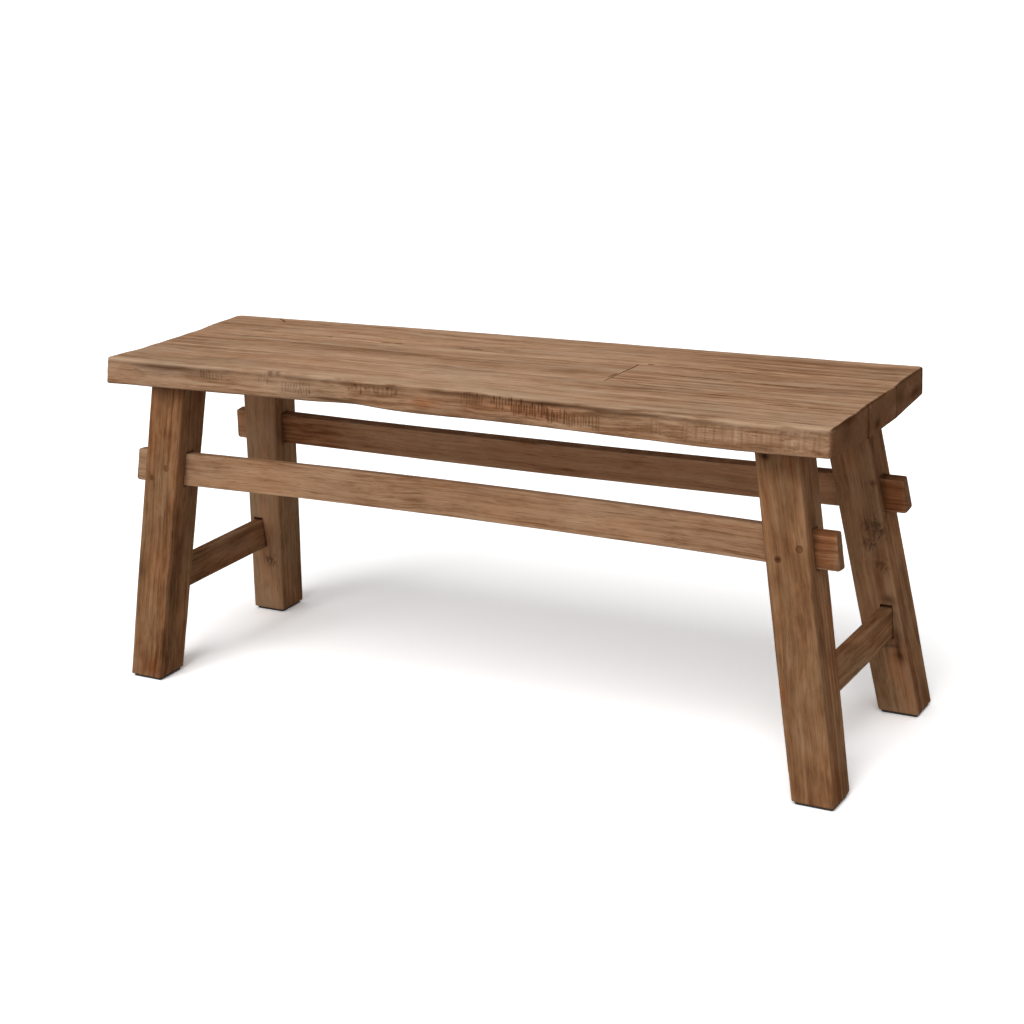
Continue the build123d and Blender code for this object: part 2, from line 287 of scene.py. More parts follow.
def makeKnot():
    # A knot: dark core and swirling grain that fades outwards
    inputs = {"Place": anyPlace, "Centre": anyPlace, "Size": (0.01, 0.01, 0.01)}
    tree, given, result = newGroup("woodKnot", inputs, ("Mask",))
    cells = (1.9, 1.9, 1.9)
    reach = vectorMaths(tree, "SUBTRACT", given.outputs["Place"], given.outputs["Centre"])
    reach = vectorMaths(tree, "DIVIDE", reach, given.outputs["Size"])
    uneven = maths(tree, "MULTIPLY_ADD", noiseAt(tree, reach, cells, 4), 0.9, -0.45)
    radius = maths(tree, "ADD", vectorMaths(tree, "LENGTH", reach), uneven)
    swirl = ranged(tree, noiseAt(tree, reach, cells, 3, 0.6, 1.4), 0.46, 0.6, 0.15, 1.0)
    core = ranged(tree, radius, 0.34, 0.1)
    halo = maths(tree, "MULTIPLY", ranged(tree, radius, 1.05, 0.25), swirl)
    mask = maths(tree, "MAXIMUM", maths(tree, "MULTIPLY", core, 0.62), maths(tree, "MULTIPLY", halo, 0.7))
    feedAll(tree, result, {"Mask": mask})
    return tree


woodFigure = makeWoodFigure()
grainLine = makeGrainLine()
woodKnot = makeKnot()

seatLook = {
    "ramp": (
        (0.0, (0.1, 0.045, 0.022)),
        (0.3, (0.24, 0.126, 0.066)),
        (0.5, (0.39, 0.23, 0.135)),
        (0.75, (0.52, 0.335, 0.215)),
        (1.0, (0.58, 0.4, 0.275)),
    ),
    "figure": {"Ring": 0.25, "Streak": 0.85, "Fibre": 0.34, "Patch": 0.32, "Ring width": 0.0055},
    "worn": (0.53, 0.355, 0.23),
    # colour of the pores and of all dark marks, both real dirt and painted shade
    "grimeAndShade": (0.07, 0.027, 0.01),
    "end": (0.168, 0.072, 0.031),
    "warm": (1.045, 0.975, 0.93),
    "cool": (0.975, 1.01, 1.03),
    "rust": (1.25, 0.78, 0.5),
    "roughness": 0.66,
    "toneRough": -0.12,      # how much rougher the wood gets with its tone and with its dark marks
    "darkRough": 0.15,
    "shine": 0.005,
    "bump": 0.0004,
    # how far pores, end grain, lines and the darkest marks cover the wood, and what wear the end grain loses
    "pores": 0.3,
    "endCover": 0.9,
    "endWear": 0.5,
    "lines": 0.75,
    "darkest": 0.92,
}

frameLook = dict(
    seatLook,
    ramp=(
        (0.0, (0.055, 0.022, 0.009)),
        (0.3, (0.147, 0.066, 0.03)),
        (0.5, (0.258, 0.13, 0.061)),
        (0.75, (0.37, 0.208, 0.112)),
        (1.0, (0.46, 0.275, 0.16)),
    ),
    figure={"Ring": 0.28, "Streak": 0.5, "Fibre": 0.34, "Patch": 0.5, "Ring width": 0.0045},
    worn=(0.37, 0.21, 0.11),
    grimeAndShade=(0.03, 0.012, 0.006),
    warm=(1.09, 0.955, 0.88),
    cool=(0.955, 1.01, 1.03),
    bump=0.00035,
)

railLook = dict(
    seatLook,
    ramp=(
        (0.0, (0.09, 0.036, 0.015)),
        (0.3, (0.225, 0.108, 0.05)),
        (0.5, (0.375, 0.212, 0.12)),
        (0.75, (0.48, 0.29, 0.17)),
        (1.0, (0.57, 0.37, 0.235)),
    ),
    figure=dict(seatLook["figure"], Ring=0.35, Streak=0.55),
)

pegLook = dict(frameLook, figure=dict(frameLook["figure"], **{"Ring width": 0.0012}))

# Dark lines in the seat, seen from above: start, end and width in millimetres
seatLines = (
    ((-443, 134), (-420, 116), 2.0),
    ((-212, 53), (-174, 53), 1.8),
    ((-91, 55), (-47, 55), 1.6),
    ((-460, 32), (-275, 33), 1.3),
    ((-514, -10), (-455, -11), 1.4),
    ((-85, -40), (-30, -41), 1.5),
    ((215, 52), (361, 52), 1.7),
    ((219, 13), (330, 9), 1.5),
    ((330, 9), (432, 5), 1.7),
    ((208, -41), (262, -51), 1.2),
    ((262, -51), (319, -46), 1.2),
    ((404, -76), (519, -76), 1.4),
    ((179, 3), (180, -26), 1.4),
    ((196, 53), (205, 53), 2.4),
)

# Knots: place and reach, seen from above in the seat and in space in the legs
seatKnots = (
    ((458, 34), (16, 5)),
    ((436, 6), (12, 5)),
    ((-300, 60), (9, 4)),
)

legKnots = (
    ((483, 85, 324), (4, 8, 5)),
    ((484, 91, 264), (24, 24, 34)),
    ((477, 94, 242), (16, 16, 22)),
    ((491, 96, 212), (15, 15, 24)),
    ((-484, 110, 89), (15, 15, 22)),
)


def finishShader(tree, shader, bump, height, inputs):
    relief = addNode(tree, "ShaderNodeBump", {"Strength": 1.0, "Distance": bump, "Height": height})
    feedAll(tree, shader, dict(inputs, Normal=relief.outputs[0]))


def makeWood(name, look, lines=(), knots=(), objectAxes=None):
    # The grain follows the piece's own attribute, or the object's axes in the order given
    material, tree, shader = newMaterial(name)

    def times(first, second):
        return maths(tree, "MULTIPLY", first, second)

    def metres(values, last):
        return tuple(value * mm for value in values) + (last,) * (3 - len(values))

    grain = attribute(tree, "grain", "Vector")
    if objectAxes:
        split = addNode(tree, "ShaderNodeSeparateXYZ", {0: objectPlace(tree)})
        grain = joinVector(tree, **{key: split.outputs[axis] for key, axis in zip("XYZ", objectAxes)})
    figure = useGroup(tree, woodFigure, dict(look["figure"], Grain=grain)).outputs
    ramp = addNode(
        tree, "ShaderNodeValToRGB", {"Fac": maths(tree, "ADD", figure["Tone"], attribute(tree, "tone"))}
    )
    points = ramp.color_ramp.elements
    for index, (place, colour) in enumerate(look["ramp"]):
        point = points[index] if index < 2 else points.new(place)
        point.position = place
        point.color = colour + (1,)
    hue = maths(tree, "ADD", figure["Warmth"], attribute(tree, "tint"), clamp=True)
    hue = mixColours(tree, hue, look["cool"], look["warm"])
    colour = mixColours(tree, 1.0, ramp.outputs["Color"], hue, "MULTIPLY")
    rust = ranged(tree, attribute(tree, "tint"), 0.1, 1.0)
    colour = mixColours(tree, rust, colour, mixColours(tree, 1.0, colour, look["rust"], "MULTIPLY"))
    colour = mixColours(tree, times(figure["Pores"], look["pores"]), colour, look["grimeAndShade"])
    endShare = attribute(tree, "endGrain")
    colour = mixColours(tree, times(endShare, look["endCover"]), colour, look["end"])
    wear = times(attribute(tree, "wear"), ranged(tree, figure["Tone"], 0.3, 0.6))
    wear = times(wear, maths(tree, "SUBTRACT", 1.0, times(endShare, look["endWear"])))
    colour = mixColours(tree, wear, colour, look["worn"])

    place = objectPlace(tree)
    flat = vectorMaths(tree, "MULTIPLY", place, (1, 1, 0))
    dark = attribute(tree, "mark")
    for start, end, width in lines:
        inputs = {"Place": flat, "Start": metres(start, 0), "End": metres(end, 0), "Width": width * mm}
        line = useGroup(tree, grainLine, inputs)
        dark = maths(tree, "MAXIMUM", dark, times(line.outputs["Mask"], look["lines"]))
    for centre, size in knots:
        spot = flat if len(centre) == 2 else place
        knot = useGroup(tree, woodKnot, {"Place": spot, "Centre": metres(centre, 0), "Size": metres(size, 1)})
        dark = maths(tree, "MAXIMUM", dark, knot.outputs["Mask"])
    # the dark marks mix real dirt, joints, chatter and knots with painted shade under and between parts
    dark = maths(tree, "MINIMUM", dark, look["darkest"])
    rough = maths(tree, "MULTIPLY_ADD", figure["Tone"], look["toneRough"], look["roughness"])
    inputs = {
        "Base Color": mixColours(tree, dark, colour, look["grimeAndShade"]),
        "Roughness": maths(tree, "MULTIPLY_ADD", dark, look["darkRough"], rough),
        "Specular IOR Level": look["shine"],
    }
    height = maths(tree, "MULTIPLY_ADD", dark, -1.0, figure["Height"])
    finishShader(tree, shader, look["bump"], height, inputs)
    return material


def makeRubber():
    material, tree, shader = newMaterial("padRubber")
    speck = noiseAt(tree, objectPlace(tree), (900, 900, 900))
    inputs = {
        "Base Color": mixColours(tree, speck, (0.012, 0.012, 0.013), (0.03, 0.029, 0.028)),
        "Roughness": ranged(tree, speck, 0.2, 0.8, 0.7, 0.9),
    }
    finishShader(tree, shader, 0.0002, speck, inputs)
    return material


seatWood = makeWood("stainedSeatWood", seatLook, seatLines, seatKnots)
legWood = makeWood("stainedFrameWood", frameLook, knots=legKnots)
railWood = makeWood("stainedRailWood", railLook)
pegWood = makeWood("darkPegWood", pegLook)
crossDowelWood = makeWood("crossDowelWood", seatLook, objectAxes="YXZ")
longDowelWood = makeWood("longDowelWood", seatLook, objectAxes="XYZ")
padRubber = makeRubber()
print("finishes ready")


# Shapes

sharpFrom = {"wood": 52, "rubber": 50}    # degrees between two faces
endGrainFacing = (0.4, 0.7)               # how squarely a face must lie across the grain


def limited(values):
    return np.clip(values, 0, 1)


def nearness(distance, reach):
    return np.exp(-(distance / reach) ** 2)


def smoothNoise(places, seed):
    # Value noise from a hashed lattice, -1 to 1
    cell = np.floor(places).astype(np.int64)
    part = places - cell
    part = part * part * (3 - 2 * part)
    total = np.zeros(len(places))
    for corner in range(8):
        step = np.array([corner & 1, corner >> 1 & 1, corner >> 2 & 1])
        x, y, z = (cell + step).T
        mixed = (x * 73856093) ^ (y * 19349663) ^ (z * 83492791) ^ (seed * 2654435761)
        mixed = (mixed ^ (mixed >> 13)) & 0xFFFFFF
        mixed = (mixed * 1103515245 + 12345) & 0x7FFFFFFF
        mixed = ((mixed ^ (mixed >> 15)) * 69069) & 0x7FFFFFFF
        value = (mixed >> 7 & 0xFFFF) / 32767.5 - 1
        weight = np.prod(np.where(step == 1, part, 1 - part), axis=1)
        total += value * weight
    return total


def layeredNoise(places, cellSize, seed, layers=3):
    scaled = places / np.array(cellSize)
    total, strength = np.zeros(len(places)), 1.0
    for layer in range(layers):
        total += smoothNoise(scaled * 2 ** layer + 17.3 * layer, seed + layer) * strength
        strength *= 0.5
    return total / 1.6


def lineNoise(along, cellSize, seed, layers=3):
    places = np.stack([along, np.full(len(along), 0.37 * cellSize), np.zeros(len(along))], axis=1)
    return layeredNoise(places, (cellSize,) * 3, seed, layers)


def stationsAlong(start, end, step, fine=()):
    # Close together near the ends and inside the fine stretches
    nearEnd, closest = (0, 0.4, 1, 1.9, 3.1, 4.6, 6.4, 8.5), 0.15
    places = [start + place for place in nearEnd]
    places += [start + end - place for place in places]
    place, last = start + nearEnd[-1], end - nearEnd[-1]
    while place < last:
        place += next((pitch for low, high, pitch in fine if low <= place < high), step)
        places.append(min(place, last))
    places = sorted(places)
    return np.array([places[0]] + [b for a, b in zip(places, places[1:]) if b - a > closest])


def endInset(distance, radius):
    reach = np.clip(radius - distance, 0, radius)
    return radius - np.sqrt(np.clip(radius ** 2 - reach ** 2, 0, None))


def stackCorners(*corners):
    return np.stack([np.stack(corner, axis=1) for corner in corners], axis=1)


def boxCorners(halfWidth, halfHeight):
    return stackCorners(*((a * halfWidth, b * halfHeight) for a, b in squareCorners))


def roundedLoops(corners, radii, arcPoints, sidePoints):
    # One closed outline for each station, from its four corners and their radii
    def unit(step):
        return step / np.linalg.norm(step, axis=1, keepdims=True)

    parts = []
    for index in range(4):
        here, before, after = corners[:, index], corners[:, index - 1], corners[:, (index + 1) % 4]
        radius, nextRadius = radii[:, index, None], radii[:, (index + 1) % 4, None]
        start = here + unit(before - here) * radius
        end = here + unit(after - here) * radius
        share = np.linspace(0, 1, arcPoints[index])[None, :, None]
        arc = (1 - share) ** 2 * start[:, None] + 2 * share * (1 - share) * here[:, None]
        arc = arc + share ** 2 * end[:, None]
        nextStart = after + unit(here - after) * nextRadius
        share = (np.arange(1, sidePoints[index] + 1) / (sidePoints[index] + 1))[None, :, None]
        parts += [arc, end[:, None] * (1 - share) + nextStart[:, None] * share]
    return np.concatenate(parts, axis=1)


def meshFromLoops(name, loops):
    shares = (0.94, 0.86, 0.76, 0.64, 0.5, 0.34, 0.16)

    def closing(ring):
        middle = ring.mean(axis=0)
        return [middle + (ring - middle) * share for share in shares]

    rings = np.array(closing(loops[0])[::-1] + list(loops) + closing(loops[-1]))
    count, size = rings.shape[:2]
    points = np.concatenate([rings.reshape(-1, 3), rings[0].mean(axis=0)[None], rings[-1].mean(axis=0)[None]])
    row = np.arange(size)
    after = (row + 1) % size
    base = (np.arange(count - 1) * size)[:, None]
    quads = np.stack([base + row, base + after, base + size + after, base + size + row], axis=-1)
    first, last = count * size, count * size + 1
    fans = [(first, int(b), int(a)) for a, b in zip(row, after)]
    fans += [(last, int(a), int(b)) for a, b in zip(row + (count - 1) * size, after + (count - 1) * size)]
    mesh = bpy.data.meshes.new(name)
    mesh.from_pydata((points * mm).tolist(), [], quads.reshape(-1, 4).tolist() + fans)
    turned = bmesh.new()
    turned.from_mesh(mesh)
    bmesh.ops.recalc_face_normals(turned, faces=turned.faces)
    turned.to_mesh(mesh)
    turned.free()
    mesh.update()
    return placeObject(name, mesh)


def readVertices(mesh, key):
    values = np.empty(len(mesh.vertices) * 3)
    mesh.vertices.foreach_get(key, values)
    return values.reshape(-1, 3)


def readPoints(mesh):
    return readVertices(mesh, "co") / mm


def writeAttribute(mesh, name, values):
    kind, key = ("FLOAT_VECTOR", "vector") if values.ndim == 2 else ("FLOAT", "value")
    layer = mesh.attributes.get(name) or mesh.attributes.new(name, kind, "POINT")
    layer.data.foreach_set(key, values.astype(np.float32).ravel())


def pushPoints(mesh, depth):
    # Moves the surface inwards by a depth in millimetres
    points = readPoints(mesh) - readVertices(mesh, "normal") * depth[:, None]
    mesh.vertices.foreach_set("co", (points * mm).astype(np.float32).ravel())
    mesh.update()


def makeBlock(middle, axes, size):
    mesh = bpy.data.meshes.new("mortise")
    block = bmesh.new()
    bmesh.ops.create_cube(block, size=1)
    turn = Matrix([Vector(axis) for axis in axes]).transposed().to_4x4()
    stretch = Matrix.Diagonal((*(Vector(size) * mm), 1))
    block.transform(Matrix.Translation(Vector(middle) * mm) @ turn @ stretch)
    bmesh.ops.recalc_face_normals(block, faces=block.faces)
    block.to_mesh(mesh)
    block.free()
    return placeObject("mortise", mesh)


def applyModifiers(piece):
    graph = bpy.context.evaluated_depsgraph_get()
    mesh = bpy.data.meshes.new_from_object(piece.evaluated_get(graph), depsgraph=graph)
    piece.modifiers.clear()
    oldMesh = piece.data
    piece.data = mesh
    bpy.data.meshes.remove(oldMesh)


def cutOut(piece, blocks):
    for block in blocks:
        cut = piece.modifiers.new("mortise", "BOOLEAN")
        cut.operation = "DIFFERENCE"
        cut.solver = "EXACT"
        cut.object = block
    applyModifiers(piece)
    for block in blocks:
        bpy.data.meshes.remove(block.data)


def declare(piece, material, node, sharpAngle):
    mesh = piece.data
    mesh.materials.clear()
    mesh.materials.append(material)
    mesh.shade_smooth()
    mesh.set_sharp_from_angle(angle=math.radians(sharpAngle))
    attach(piece, "root")
    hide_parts(node)
    print("made", piece.name, len(mesh.vertices))


def dress(piece, material, node, pith, toGrain, wear, tone, mark, tint=None):
    mesh = piece.data
    points = readPoints(mesh)
    local = toGrain(points)
    writeAttribute(mesh, "grain", (local + np.array(pith)) * mm)
    writeAttribute(mesh, "wear", limited(wear(local)))
    writeAttribute(mesh, "tone", tone(local))
    writeAttribute(mesh, "mark", limited(mark(local)))
    writeAttribute(mesh, "tint", limited(tint(local)) if tint else np.zeros(len(points)))
    direction = toGrain(points + readVertices(mesh, "normal")) - local
    facing = np.abs(direction[:, 0]) / np.linalg.norm(direction, axis=1)
    low, high = endGrainFacing
    writeAttribute(mesh, "endGrain", limited((facing - low) / (high - low)))
    declare(piece, material, node, sharpFrom["wood"])


# Seat boards, all in the bench's own millimetres

seat = {
    "top": 460,
    "left": -521,
    "right": 527,
    "tip": -535,             # about where the flared left corner ends
    "shift": 3,              # how far the seat's middle lies to the right
    "frontSeam": -45,
    "backSeam": 50,
    "butt": 184,
    "middleUnder": 418,
    "edgeUnder": 425,
    "topFace": 448,          # above this lies the top, whose tone varies
    "frontMean": -145,
    "frontSlope": 100,
    "backSlope": 98,
    "backLeft": 138,
    "backRight": 148,
    "wave": 16,
    "flare": 14.5,
    "flareLength": 150,
    "flareFront": -140,      # the flare grows from the front seam to here
    "topRounds": (3, 4.5),   # at the left end and at the right
    "seamGap": 0.04,
    "seamSeed": 77,
    "lowerEdge": 4.5,        # the live edge's foot stands this far before its top
    "planed": 0.45,          # the least that the planed top lies below its highest lines
    "chatterSeed": 41,
}

liveEdge = (
    (-1.00, -0.30), (-0.86, -0.05), (-0.60, -0.60), (-0.40, -0.75), (-0.20, -0.35),
    (0.10, -0.35), (0.30, -0.05), (0.55, 0.55), (0.80, 1.00), (1.00, 0.70),
)

# Saw chatter on the live edge: start, end, lowest, highest, pitch, depth and darkness
chatter = (
    (-377, -340, 437, 455, 4.4, 0.6, 0.4),
    (-286, -268, 440, 456, 4.5, 0.4, 0.35),
    (-249, -200, 432, 449, 5.2, 0.5, 0.45),
    (-225, -200, 431, 441, 4.0, 0.5, 0.6),
    (-136, -58, 440, 455, 7.0, 0.6, 0.45),
    (32, 64, 439, 458, 4.0, 0.7, 0.62),
    (75, 108, 439, 458, 4.0, 0.8, 0.95),
    (107, 158, 433, 456, 3.9, 0.8, 1.0),
    (157, 184, 429, 450, 4.1, 0.8, 0.9),
    (186, 230, 426, 447, 4.4, 0.8, 0.72),
    (268, 294, 431, 448, 4.2, 0.4, -0.7),
    (300, 313, 430, 452, 5.0, 0.4, 0.3),
    (339, 507, 427, 456, 5.6, 0.5, 0.26),
    (345, 500, 428, 455, 11.0, 0.2, -0.55),
)

# Patches on the live edge: middle along, middle height, reach along and up, darkness (light below 0)
edgePatches = (
    (-447, 455, 34, 5.5, 0.35),
    (-385, 449, 84, 7.5, 0.36),
    (-370, 436, 80, 3.5, -0.45),
    (-345, 428, 90, 3, 0.2),
    (-262, 457, 4, 4.5, 0.6),
    (-250, 458, 4, 4, 0.6),
    (-134, 447, 2.5, 2.5, 0.5),
    (-124, 452, 2.2, 2.2, 0.5),
    (-115, 444, 2.5, 2.5, 0.5),
    (-106, 450, 2.5, 2.2, 0.5),
    (-90, 446, 3, 2.5, 0.5),
    (-72, 453, 2.5, 2.5, 0.5),
    (-61, 448, 2.5, 3, 0.5),
    (-148, 430, 48, 3.5, 0.8),
    (78, 429, 15, 2.5, -0.6),
    (165, 454, 36, 4.5, 0.5),
    (283, 455, 102, 3, 0.4),
    (414, 440, 3, 14, -0.5),
    (434, 440, 3, 14, -0.5),
    (480, 443, 7, 4, -0.5),
)

# Patches on the right end: middle across, middle height, reach across and up, darkness, rust
endPatches = (
    (-104, 454, 22, 5, 0.35, 0.5),
    (-112, 441, 15, 9, 0.3, 0.0),
    (-38, 457, 12, 3, -0.6, 1.0),
    (17, 457, 12, 3, -0.5, 1.0),
    (-44, 430, 4, 7, 0.7, 0.0),
    (-15, 429, 9, 7, 0.6, 0.4),
    (45, 430, 14, 6, -0.3, 0.9),
    (95, 444, 13, 9, -0.3, 0.8),
    (62, 440, 12, 12, 0.35, 0.2),
    (144, 442, 5, 30, 0.85, 0.0),
    (112, 434, 22, 6, 0.5, 0.3),
)

# Lighter and darker stretches of the top: middle, reach and change of tone
seatTones = (
    (10, -95, 190, 46, 0.18),
    (340, 100, 190, 55, -0.09),
    (-200, -30, 260, 8, 0.08),
    (360, -20, 150, 22, -0.04),
    (-330, 100, 120, 30, 0.04),
    (60, 90, 120, 30, 0.04),
)

# Rust coloured spots on the live edge: middle along, middle height, reach along and up, strength
rustSpots = (
    (-20, 438, 22, 8, 0.5),
    (130, 444, 100, 14, 0.5),
)


def patchSum(first, second, patches, column=4):
    total = np.zeros(len(first))
    for patch in patches:
        aside = np.hypot((first - patch[0]) / patch[2], (second - patch[1]) / patch[3])
        total += patch[column] * nearness(aside, 1)
    return total


def edgeCurve(places):
    # Natural spline through the live edge's points
    xs = np.array([seat["shift"] + share * (seat["right"] - seat["shift"]) for share, proud in liveEdge])
    xs[0] = seat["left"] - seat["flare"]
    ys = np.array([seat["frontMean"] - proud * seat["wave"] for share, proud in liveEdge])
    count = len(xs)
    gaps = np.diff(xs)
    slopes = np.diff(ys) / gaps
    system, known = np.eye(count), np.zeros(count)
    for index in range(1, count - 1):
        system[index, index - 1:index + 2] = gaps[index - 1], 2 * (gaps[index - 1] + gaps[index]), gaps[index]
        known[index] = 6 * (slopes[index] - slopes[index - 1])
    bend = np.linalg.solve(system, known)
    spot = np.clip(np.searchsorted(xs, places) - 1, 0, count - 2)
    gap, before, after = gaps[spot], xs[spot + 1] - places, places - xs[spot]
    return (
        (bend[spot] * before ** 3 + bend[spot + 1] * after ** 3) / (6 * gap)
        + (ys[spot] / gap - bend[spot] * gap / 6) * before
        + (ys[spot + 1] / gap - bend[spot + 1] * gap / 6) * after
    )


def backLine(places):
    share = (places - seat["left"]) / (seat["right"] - seat["left"])
    return seat["backLeft"] + share * (seat["backRight"] - seat["backLeft"])


def underside(across):
    rise = seat["edgeUnder"] - seat["middleUnder"]
    front = np.clip(seat["frontSeam"] - across, 0, None) / seat["frontSlope"]
    back = np.clip(across - seat["backSeam"], 0, None) / seat["backSlope"]
    return seat["middleUnder"] + rise * (front + back)


def chatterMarks(points):
    # Depth and darkness of the chatter at points of the front face
    chance = np.random.default_rng(seat["chatterSeed"])
    depth, dark = np.zeros(len(points)), np.zeros(len(points))
    for start, end, low, high, pitch, cut, shade in chatter:
        place = start
        while place < end:
            place += pitch * chance.uniform(0.8, 1.2)
            bottom = low + chance.uniform(-1, 0.3 * (high - low))
            top = high - chance.uniform(-1, 0.25 * (high - low))
            lean = chance.uniform(-0.06, 0.06)
            width = chance.uniform(0.75, 1.1) * (2.4 if pitch > 8 else 1)
            strength = chance.uniform(0.7, 1)
            line = points[:, 0] - place - lean * (points[:, 2] - bottom)
            fade = limited((points[:, 2] - bottom) / 3) * limited((top - points[:, 2]) / 3)
            mask = nearness(line, width) * fade * strength
            depth += cut * mask
            dark += shade * mask
    return depth, dark


def topDip(across, along):
    # Hand planing: hollows between the boards' higher lines, deepest at the seams
    fromTip = along - seat["tip"]
    hollow = 3.4 * nearness(across - 40, 22) + 2.3 * nearness(across + 82, 17)
    hollow += 0.9 * nearness(across - 106, 12)
    hollow += 1.5 * nearness(across + 2, 22) + (1 - nearness(fromTip, 70)) * nearness(across + 128, 16)
    hollow *= 1 - 0.6 * nearness(fromTip, 120) - 0.35 * nearness(along - seat["right"], 90)
    backDrop = 1.3 * limited((across - 112) / 18) * limited(along / 250)
    return hollow * (0.72 + 0.28 * np.cos(along / 190.0 - 2.7)) + backDrop


# Stretches of the front board with closer stations
fineStretches = tuple(
    (low - 2, high + 4, 0.9 if pitch < 8 else 1.8) for low, high, _, _, pitch, _, _ in chatter
)

# Rounds stand as a pair, at the left end and at the right
boards = {
    "seat_front_board": {
        "piece": "seatFrontBoard", "span": (seat["left"] - seat["flare"], seat["right"]), "step": 3.2,
        "sides": (32, 8, 20, 24), "arcs": (7, 3, 3, 6), "outerRounds": (4.5, 8), "lowRounds": (4, 2),
        "fine": fineStretches, "pith": (700, 96, -520), "seed": 3, "tone": 0.01,
    },
    "seat_middle_board_long": {
        "piece": "seatMiddleBoardLong", "span": (seat["left"], seat["butt"]), "step": 3,
        "sides": (34, 6, 16, 6), "arcs": (3, 3, 3, 3), "lowRounds": (2, 2),
        "fine": (), "pith": (2100, 10, -548), "seed": 11, "tone": 0.03,
    },
    "seat_middle_board_short": {
        "piece": "seatMiddleBoardShort", "span": (seat["butt"], seat["right"]), "step": 3,
        "sides": (34, 6, 16, 6), "arcs": (3, 3, 3, 3), "lowRounds": (2, 2),
        "fine": (), "pith": (3300, -34, -500), "seed": 19, "tone": 0.01,
    },
    "seat_back_board": {
        "piece": "seatBackBoard", "span": (seat["left"], seat["right"]), "step": 3,
        "sides": (32, 12, 20, 6), "arcs": (3, 6, 4, 3), "outerRounds": (12, 8), "lowRounds": (2, 2),
        "fine": (), "pith": (4700, -150, -535), "seed": 27, "tone": 0.02,
    },
}


